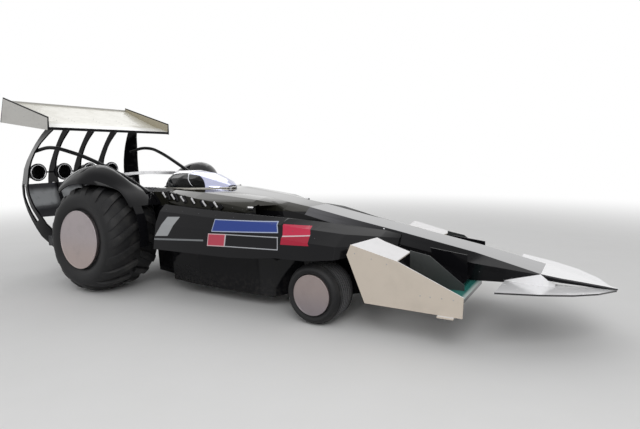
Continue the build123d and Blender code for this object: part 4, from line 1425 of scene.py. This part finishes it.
@dataclass
class Canopy(Assembly):
    """Smoked canopy, its frame and the rail behind it."""

    body: str = "canopy"
    above: float = 1.8
    sill_z: float = 1.303
    pillar_foot_x: float = -0.765
    pillar_top: Pair = (-1.020, 1.485)
    pillar_steps: int = 8
    arch_y: tuple[float, ...] = (-0.10, -0.05, 0.0, 0.05, 0.10)
    # (along the car, above the glass) section of the pillar
    pillar_section: Line = ((-0.008, -0.002), (-0.006, 0.004), (0.006, 0.004), (0.008, -0.002))
    cap_x: Pair = (-1.309, -1.010)
    cap_steps: int = 8
    cap_half: float = 0.205
    cap_half_steps: int = 6
    cap_rise: float = 0.006
    cap_sink: float = 0.001
    # x, half width at the sill
    glass_rows: Line = ((-1.315, 0.330), (-1.055, 0.400), (-0.815, 0.380), (-0.595, 0.260),
                        (-0.435, 0.090))
    screw_count: int = 9
    screw_from: float = -1.27
    screw_step: float = 0.09
    screw_inset: float = 0.010
    screw_size: Pair = (0.004, 0.002)

    def build(self) -> None:
        """Dresses the canopy and adds its pillars and screws."""
        self.soften(Paint.GLASS, 0, 75, "canopy_glass")
        self.paint(Paint.SILL, "canopy_frame")
        self.paint(Paint.FRAME_SILVER, "canopy_hinge")
        self.paint(Paint.SILVER, "roof_rail")
        self._cap()
        self._pillars()
        self._sill_screws()

    def _cap(self) -> None:
        """Adds the silver cap that carries the rail's line on over the canopy."""
        start, end = self.cap_x
        half = self.cap_half_steps
        rings = []
        for k in range(self.cap_steps + 1):
            x = start + (end - start) * k / self.cap_steps
            row = self.landed(("canopy_glass",), [
                Vector((x, self.cap_half * j / half, self.above))
                for j in range(-half, half + 1)], DOWN)
            rings.append([place + facing * self.cap_rise for place, facing in row]
                         + [place - facing * self.cap_sink for place, facing in reversed(row)])
        self.fit("canopy_cap", Form().rings(rings), Paint.SILVER, 50)

    def _pillars(self) -> None:
        """Adds the slanted pillar on both sides and its arch over the glass."""
        (top_x, top_z), glass = self.pillar_top, ("canopy_glass",)
        shares = [k / self.pillar_steps for k in range(self.pillar_steps + 1)]
        right, left = (self.landed(glass, [
            Vector((self.pillar_foot_x + share * (top_x - self.pillar_foot_x), side * 0.8,
                    self.sill_z + share * (top_z - self.sill_z))) for share in shares],
            aside(-side)) for side in SIDES)
        arch = self.landed(glass, [Vector((top_x, y, self.above)) for y in self.arch_y], DOWN)
        rings = [[place + FORWARD * along + facing.normalized() * rise
                  for along, rise in self.pillar_section]
                 for place, facing in (*right, *arch, *reversed(left))]
        self.fit("canopy_pillar", Form().rings(rings), Paint.FRAME_SILVER, 30)

    def _sill_screws(self) -> None:
        """Adds screws along the sill frame."""
        starts = []
        for k in range(self.screw_count):
            x = self.screw_from + self.screw_step * k
            y = interpolated(self.glass_rows, x) - self.screw_inset
            starts += [Vector((x, side * y, self.above)) for side in SIDES]
        self.screws("sill_screws", self.landed(("canopy_frame",), starts, DOWN), self.screw_size)


@dataclass
class Cabin(Assembly):
    """Seat, harness, steering wheel and dashboard under the canopy."""

    voxel: float = 0.010
    swell: float = 0.010
    seam_y: float = 0.14
    seam_reach: float = 0.19
    seam_half: float = 0.02
    seam_depth: float = 0.008
    cloth_frames: int = 20
    pressure: float = 4.0
    strap: Pair = (0.024, 0.001)
    # (x, z) points of the seat's back, and (x, y, z) points of the right lap strap
    back_line: Line = ((-1.270, 1.196), (-1.195, 0.985), (-1.128, 0.775), (-1.085, 0.610),
                       (-1.048, 0.480))
    lap_line: Rows = (
        (-1.030, 0.020, 0.470), (-1.020, 0.10, 0.458), (-1.035, 0.18, 0.446),
        (-1.060, 0.222, 0.40))
    buckle: Line = ((-0.006, 0.0), (-0.006, 0.030), (0.004, 0.032), (0.008, 0.026), (0.009, 0.0))
    buckle_at: tuple[float, float, float] = (-1.030, 0, 0.482)
    dials: Line = ((-0.13, 0.045), (0.0, 0.058), (0.13, 0.045))
    dial_z: float = 1.03
    bezel: Line = ((0.002, -0.008), (-0.010, -0.006), (-0.012, 0.0), (-0.006, 0.004),
                   (0.002, 0.004))

    def build(self) -> None:
        """Dresses the cabin and makes its padded seat."""
        self.paint(Paint.CLOTH, "seat")
        self.paint(Paint.GRIP, "steering_wheel")
        self.paint(Paint.STEEL, "dashboard")
        self._seat_pad()
        self._harness()
        self._dials()

    def _seat_pad(self) -> None:
        """Makes the seat as one swollen pad with sewn channels."""
        form = Form.copied(self.nodes["seat"])
        bmesh.ops.remove_doubles(form.mesh, verts=form.mesh.verts, dist=1e-5)
        pad = form.piece("seat_pad", self.palette.of(Paint.CLOTH.value), 80)
        remesh = pad.modifiers.new("remesh", "REMESH")
        remesh.mode = "VOXEL"
        remesh.voxel_size = self.voxel
        applied(pad)
        rest = [v.co.copy() for v in pad.data.vertices]
        for vert, normal in zip(pad.data.vertices, [v.normal.copy() for v in pad.data.vertices]):
            vert.co -= normal * self.swell
        self._inflate(pad)
        for vert, home in zip(pad.data.vertices, rest):
            shift = vert.co - home
            if shift.length > self.swell:
                vert.co = home + shift.normalized() * self.swell
        for vert in pad.data.vertices:
            seam = min(abs(abs(vert.co.y) - self.seam_y), abs(vert.co.y))
            if seam < self.seam_half and abs(vert.co.y) < self.seam_reach:
                vert.co -= vert.normal * self.seam_depth * (1 - seam / self.seam_half) ** 2
        smooth = pad.modifiers.new("smooth", "SUBSURF")
        smooth.levels = smooth.render_levels = 1
        applied(pad)
        pad.data.polygons.foreach_set("use_smooth", [True] * len(pad.data.polygons))
        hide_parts("seat")
        self.add(pad, Paint.CLOTH)

    def _inflate(self, pad: bpy.types.Object) -> None:
        """Lets cloth pressure swell the pad."""
        cloth = pad.modifiers.new("cloth", "CLOTH")
        cloth.settings.use_pressure = True
        cloth.settings.uniform_pressure_force = self.pressure
        cloth.settings.effector_weights.gravity = 0.0
        cloth.settings.quality = 3
        cloth.collision_settings.use_collision = False
        for number in range(1, self.cloth_frames + 1):
            bpy.context.scene.frame_set(number)
        applied(pad)
        bpy.context.scene.frame_set(1)

    def _harness(self) -> None:
        """Adds two shoulder straps, two lap straps and a round buckle."""
        form = Form()
        section = oblong(*self.strap)
        for side in SIDES:
            back = [Vector((x + 0.014, side * (0.045 + 0.05 * (z - 0.48)), z))
                    for x, z in self.back_line]
            form.bar(back, section, Vector((1, 0, 0.3)))
            lap = [Vector((x, side * y, z)) for x, y, z in self.lap_line]
            form.bar(lap, section, Vector((0.6, 0, 1)))
        self.fit("harness_straps", form, Paint.WEBBING, 60)
        self.fit("harness_buckle", Form().turned(self.buckle, Vector(self.buckle_at),
                                                 Spin.CAR_LENGTH, 24), Paint.POLISHED)

    def _dials(self) -> None:
        """Adds the bezels of three blank dials to the dashboard."""
        low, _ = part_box("dashboard")
        form = Form()
        for y, radius in self.dials:
            form.turned([(along, radius + out) for along, out in self.bezel],
                        Vector((low.x, y, self.dial_z)), Spin.CAR_LENGTH, 28, True)
        self.fit("dial_bezels", form, Paint.SCREW)


@dataclass
class Tail(Assembly):
    """Fins, wing, hoops and trumpets."""

    wing_half: float = 1.066
    # (x, z) lines of the wing's upper face and of the end plates' upper edges
    wing_line: Line = ((-2.735, 2.129), (-3.075, 2.232), (-3.435, 2.376), (-3.819, 2.540))
    plate_top: Line = ((-2.735, 2.085), (-2.735, 2.258), (-3.819, 2.592), (-3.905, 2.240))
    plate_bead: Pair = (0.009, 0.007)
    trumpet_places: tuple[float, ...] = (-0.650, -0.225, 0.225, 0.650)
    trumpet_x: float = -3.715
    trumpet_z: float = 1.490
    rim_radius: float = 0.112
    rim_half: float = 0.008
    rim_ahead: float = 0.004
    screen_radius: float = 0.088
    screen_x: float = -0.062
    wire_gap: float = 0.015
    wire: float = 0.0016
    fin_places: tuple[float, ...] = (-0.70, -0.42, 0.0, 0.42, 0.70)
    fin_screw_x: tuple[float, ...] = (-3.12, -3.19, -3.26)
    plate_screw_shares: tuple[float, ...] = (0.2, 0.6)
    screw_size: Pair = (0.008, 0.003)

    def build(self) -> None:
        """Dresses the tail and adds its trim."""
        self.paint(Paint.BLACK, "tail_ribs", "side_hoops", "trumpets")
        self.paint(Paint.WING, "wing_plane")
        self.paint(Paint.END_PLATE, "wing_end_plates")
        self.paint(Paint.STEEL, "trumpet_stays")
        self.paint(Paint.PANEL, "tail_panels")
        self._plate_beads()
        self._wing_lips()
        self._trumpet_rims()
        self._wing_screws()

    def _plate_beads(self) -> None:
        """Adds the black bead round each end plate's upper edges."""
        form = Form()
        for side in SIDES:
            path = [Vector((x, side * (self.wing_half - 0.006), z)) for x, z in self.plate_top]
            form.bar(path, oblong(*self.plate_bead), aside(1))
        self.fit("end_plate_beads", form, Paint.BLACK)

    def _wing_lips(self) -> None:
        """Adds the dark nose strip and the upright strip on the rear edge."""
        reach = self.wing_half - 0.013
        (front_x, front_z), (rear_x, rear_z) = self.wing_line[0], self.wing_line[-1]
        self.fit("wing_nose_strip", Form().block(
            Vector((front_x - 0.004, -reach, front_z - 0.040)),
            Vector((front_x + 0.006, reach, front_z - 0.006)), 0.002), Paint.BLACK)
        self.fit("wing_rear_lip", Form().block(
            Vector((rear_x - 0.004, -reach, rear_z - 0.030)),
            Vector((rear_x + 0.004, reach, rear_z + 0.022)), 0.0015), Paint.END_PLATE)

    def _trumpet_rims(self) -> None:
        """Adds the bright rolled rims and the dark screens in the throats."""
        rims, screens = Form(), Form()
        ring = [(self.rim_ahead + a, self.rim_radius + b) for a, b in circle(self.rim_half, 12)]
        rhomb = [(self.wire, 0), (0, self.wire), (-self.wire, 0), (0, -self.wire)]
        for y in self.trumpet_places:
            centre = Vector((self.trumpet_x, y, self.trumpet_z))
            rims.turned(ring, centre, Spin.CAR_LENGTH, 56, True)
            back = centre + FORWARD * self.screen_x
            for k in range(-5, 6):
                offset = self.wire_gap * k
                reach = math.sqrt(self.screen_radius ** 2 - offset ** 2)
                screens.tube([back + Vector((0, offset, end * reach)) for end in (-1, 1)],
                             self.wire, 5)
                screens.bar([back + Vector((0.002, end * reach, offset)) for end in (-1, 1)],
                            rhomb, FORWARD)
        self.fit("trumpet_rims", rims, Paint.POLISHED, 60)
        self.fit("trumpet_screens", screens, Paint.STEEL)

    def _wing_screws(self) -> None:
        """Adds the screws that hold the wing to its end plates and fins."""
        spots = [(Vector((x0 + share * (x1 - x0), side * self.wing_half,
                          z0 + share * (z1 - z0) - 0.015)), aside(side))
                 for side in SIDES
                 for (x0, z0), (x1, z1) in zip(self.wing_line, self.wing_line[1:])
                 for share in self.plate_screw_shares]
        spots += self.landed(("wing_plane",), [Vector((x, y, 3.0)) for y in self.fin_places
                                               for x in self.fin_screw_x], DOWN)
        self.screws("wing_screws", spots, self.screw_size)


@dataclass
class RearMechanics(Assembly):
    """Engine, frame, axle and rear suspension."""

    cover_y: float = 0.165
    cover_half: float = 0.065
    cover_height: float = 0.055
    rib_count: int = 16
    rib_half: Pair = (0.004, 0.045)
    screw_count: int = 8
    screw_y: float = 0.052
    screw_size: Pair = (0.006, 0.004)
    spring_y: float = 0.370

    def build(self) -> None:
        """Dresses the mechanical parts and adds covers and springs."""
        self.paint(Paint.CAST, "engine_block")
        self.paint(Paint.STEEL, "rear_frame", "rear_axle", "rear_trailing_arms", "rear_dampers")
        self._cam_covers()
        self._springs()

    def _cam_covers(self) -> None:
        """Adds two ribbed covers with their screws on the engine's top."""
        low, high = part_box("engine_block")
        covers, ribs = Form(), Form()
        spots: list[Spot] = []
        length, top = high.x - low.x, high.z
        along, across = self.rib_half
        for side in SIDES:
            y = side * self.cover_y
            covers.block(Vector((low.x + 0.06, y - self.cover_half, top)),
                         Vector((high.x - 0.10, y + self.cover_half, top + self.cover_height)),
                         0.014)
            for k in range(self.rib_count):
                x = low.x + 0.12 + k * (length - 0.30) / (self.rib_count - 1)
                ribs.block(Vector((x - along, y - across, top + 0.050)),
                           Vector((x + along, y + across, top + 0.062)), 0.002)
            for k in range(self.screw_count):
                x = low.x + 0.10 + k * (length - 0.24) / (self.screw_count - 1)
                spots += [(Vector((x, y + edge, top + 0.0545)), UP)
                          for edge in (-self.screw_y, self.screw_y)]
        self.fit("cam_covers", covers, Paint.CAST)
        self.fit("cam_cover_ribs", ribs, Paint.CAST)
        self.screws("cam_cover_screws", spots, self.screw_size)

    def _springs(self) -> None:
        """Adds the coil springs over the rear dampers."""
        low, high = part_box("rear_dampers")
        points = [Vector((REAR_AXLE_X, side * self.spring_y, low.z + 0.040)) for side in SIDES]
        sizes = {"Turns": 7.0, "Coil Radius": 0.044, "Wire Radius": 0.0055,
                 "Height": high.z - low.z - 0.085}
        self.add(self.grown(Coils, "rear_springs", points_mesh("spring_points", points),
                            sizes, Paint.POLISHED), Paint.POLISHED)


@dataclass
class FrontWing(Assembly):
    """Side plates, planes, flaps, fences and the leaf shaped nose."""

    plate_y: float = 0.917
    # (x, z) places of the side plates' screws
    plate_screws: Line = ((2.41, 0.465), (2.50, 0.465), (2.60, 0.465), (2.70, 0.465),
                          (1.78, 0.78), (1.95, 0.745), (2.10, 0.71))
    screw_size: Pair = (0.006, 0.0025)
    nose_end_x: float = 3.3053
    blade_length: float = 0.600
    blade_sheet: float = 0.014
    # Share of the blade's length, half width, top z
    blade_rows: Rows = (
        (0.0, 0.235, 0.606), (0.27, 0.182, 0.573), (0.5, 0.115, 0.546), (0.75, 0.050, 0.517),
        (0.97, 0.012, 0.494))
    skirt_root: float = 0.036
    skirt_tip: float = 0.008
    skirt_inset: float = 0.003
    skirt_sheet: float = 0.006
    fairing_x: float = 2.985
    fairing_steps: int = 4
    # x, y and z of the root, y of the foot
    fairing_nose: Rows = (
        (3.330, 0.222, 0.580, 0.279), (3.370, 0.205, 0.545, 0.262), (3.420, 0.180, 0.515, 0.230))
    fairing_sharp: float = 12.0

    def build(self) -> None:
        """Dresses the front wing and the nose."""
        self.paint(Paint.FRONT_PLATE, "front_end_plates")
        self.paint(Paint.TEAL, "front_wing_planes")
        self.paint(Paint.BLACK, "front_wing_flaps", "front_pylons")
        self.paint(Paint.FENCE, "front_fences")
        self.paint(Paint.NOSE, "nose_blade", "canards")
        self._plate_screws()
        self._blade_skirt()
        self._root_fairings()

    def _canard_top(self, x: float, y: float) -> float:
        """Height of a canard's upper face."""
        behind = self.nose_end_x + self.blade_length - x
        return 0.475 + 0.0183 * behind + 0.0815 * y

    def _blade_skirt(self) -> None:
        """Adds the black skirt under the leaf's edges."""
        form = Form()
        for side in SIDES:
            rings = []
            for share, half, top in self.blade_rows:
                x = self.nose_end_x + share * self.blade_length
                drop = self.skirt_root + share * (self.skirt_tip - self.skirt_root)
                high = top - self.blade_sheet
                low = max(high - drop, self._canard_top(x, half) + 0.001)
                outer = half - self.skirt_inset
                inner = outer - self.skirt_sheet
                rings.append([Vector((x, side * y, z)) for y, z in (
                    (outer, high), (outer, low), (inner, low), (inner, high))])
            form.rings(rings)
        self.fit("blade_skirts", form, Paint.BLACK)

    def _root_fairings(self) -> None:
        """Adds the white fillets between the nose's sides and the canards."""
        form = Form()
        length = self.nose_end_x - 0.001 - self.fairing_x
        rows = [(self.fairing_x + k * length / self.fairing_steps, 0.213 + 0.0065 * k,
                 0.508 + 0.024 * k, 0.222 + 0.0145 * k) for k in range(self.fairing_steps + 1)]
        for side in SIDES:
            rings = []
            for x, root, top, foot in (*rows, *self.fairing_nose):
                low = self._canard_top(x, foot)
                rings.append([Vector((x, side * y, z)) for y, z in (
                    (root, max(top, low)), (foot, low), (root - 0.020, low - 0.004))])
            form.rings(rings)
        self.fit("canard_fairings", form, Paint.NOSE_WHITE, self.fairing_sharp)

    def _plate_screws(self) -> None:
        """Adds the screws that hold the planes to the side plates."""
        spots = [(Vector((x, side * self.plate_y, z)), aside(side))
                 for side in SIDES for x, z in self.plate_screws]
        self.screws("front_plate_screws", spots, self.screw_size)


# Stage

@dataclass(frozen=True)
class Stage:
    """Pale floor, soft light and the photograph's camera."""

    eye: tuple[float, float, float] = (3.7724, -5.0001, 1.7073)
    heading: float = 0.52267
    pitch: float = 0.04391
    roll: float = -0.01325
    lens: float = 27.5625
    shift: float = -0.0602
    sensor: float = 36.0
    view_end: float = 200.0
    # Lamps: name, place, size, power
    lamps: tuple[tuple[str, tuple[float, float, float], float, float], ...] = (
        ("key", (5.0, -7.0, 6.5), 5.0, 260.0), ("fill", (-6.0, 5.0, 7.0), 6.0, 110.0))
    lamps_aim: tuple[float, float, float] = (0, 0, 0.8)
    floor_size: float = 60.0
    floor_tone: float = 0.80

    def camera(self) -> None:
        """Places the camera."""
        ahead = Vector((-math.sin(self.heading), math.cos(self.heading), 0))
        right = Vector((math.cos(self.heading), math.sin(self.heading), 0))
        front = ahead * math.cos(self.pitch) - UP * math.sin(self.pitch)
        top = ahead * math.sin(self.pitch) + UP * math.cos(self.pitch)
        side = right * math.cos(self.roll) + top * math.sin(self.roll)
        crown = -right * math.sin(self.roll) + top * math.cos(self.roll)
        data = bpy.data.cameras.new("camera")
        data.lens, data.sensor_width, data.shift_y = self.lens, self.sensor, self.shift
        data.clip_end = self.view_end
        camera = bpy.data.objects.new("camera", data)
        bpy.context.scene.collection.objects.link(camera)
        turn = Matrix((side, crown, -front)).transposed().to_4x4()
        camera.matrix_world = Matrix.Translation(self.eye) @ turn
        bpy.context.scene.camera = camera
        bpy.context.scene.view_settings.view_transform = "Standard"

    def light(self) -> None:
        """Adds two soft lamps and the even pale surroundings."""
        for name, place, size, power in self.lamps:
            data = bpy.data.lights.new(name, "AREA")
            data.size, data.energy = size, power
            lamp = bpy.data.objects.new(name, data)
            bpy.context.scene.collection.objects.link(lamp)
            lamp.location = place
            aim = Vector(self.lamps_aim) - Vector(place)
            lamp.rotation_euler = aim.to_track_quat("-Z", "Y").to_euler()
        world = bpy.data.worlds.new("world")
        bpy.context.scene.world = world
        world.use_nodes = True
        graph = Graph(world.node_tree)
        path = graph.node("ShaderNodeLightPath")
        seen = Sock(graph, path.outputs["Is Camera Ray"])
        seen = seen.most(Sock(graph, path.outputs["Is Glossy Ray"]))
        seen = seen.most(Sock(graph, path.outputs["Is Transmission Ray"]))
        strength = 0.60 + 0.40 * seen
        back = graph.sock("ShaderNodeBackground", inputs={0: (1.0, 1.0, 1.0, 1.0), 1: strength})
        output = graph.node("ShaderNodeOutputWorld")
        graph.tree.links.new(back.out, output.inputs[0])

    def floor(self) -> None:
        """Lays the pale floor, which fades to white in the distance."""
        half = self.floor_size / 2
        form = Form()
        form.rings([[Vector((-half, -half, 0)), Vector((half, -half, 0))],
                    [Vector((-half, half, 0)), Vector((half, half, 0))]], closed=False)
        shade = Shade("pale_floor")
        reach = (shade.x * shade.x + shade.y * shade.y) ** 0.5
        seen = shade.sock("ShaderNodeLightPath", output="Is Camera Ray")
        far = reach.rise(6.0, 16.0) * seen
        tone = self.floor_tone
        shade.set(Base_Color=shade.mix(shade.noise(2.0, 3.0), (tone, tone, tone),
                                       (tone * 0.96, tone * 0.96, tone * 0.955)),
                  Roughness=0.75, Specular_IOR_Level=0.2)
        white = shade.sock("ShaderNodeEmission", inputs={0: (1.0, 1.0, 1.0, 1.0), 1: 1.0})
        mixed = shade.sock("ShaderNodeMixShader", inputs={0: far, 2: white})
        shade.tree.links.new(shade.surface.outputs[0], mixed.out.node.inputs[1])
        output = next(n for n in shade.tree.nodes if n.type == "OUTPUT_MATERIAL")
        shade.tree.links.new(mixed.out, output.inputs[0])
        floor = form.piece("floor", shade.material)


SUB_ASSEMBLIES = (RearWheels, FrontWheels, BodyShell, Fenders, Canopy, Cabin, Tail,
                  RearMechanics, FrontWing)


def main() -> None:
    """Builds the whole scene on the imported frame."""
    logging.basicConfig(level=logging.INFO, format="%(name)s: %(message)s")
    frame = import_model()
    stage = Stage()
    stage.camera()
    palette = Palette()
    for kind in SUB_ASSEMBLIES:
        LOG.info("building %s", kind.__name__)
        kind(frame["nodes"], palette).build()
    stage.light()
    stage.floor()


if __name__ == "__main__":
    main()
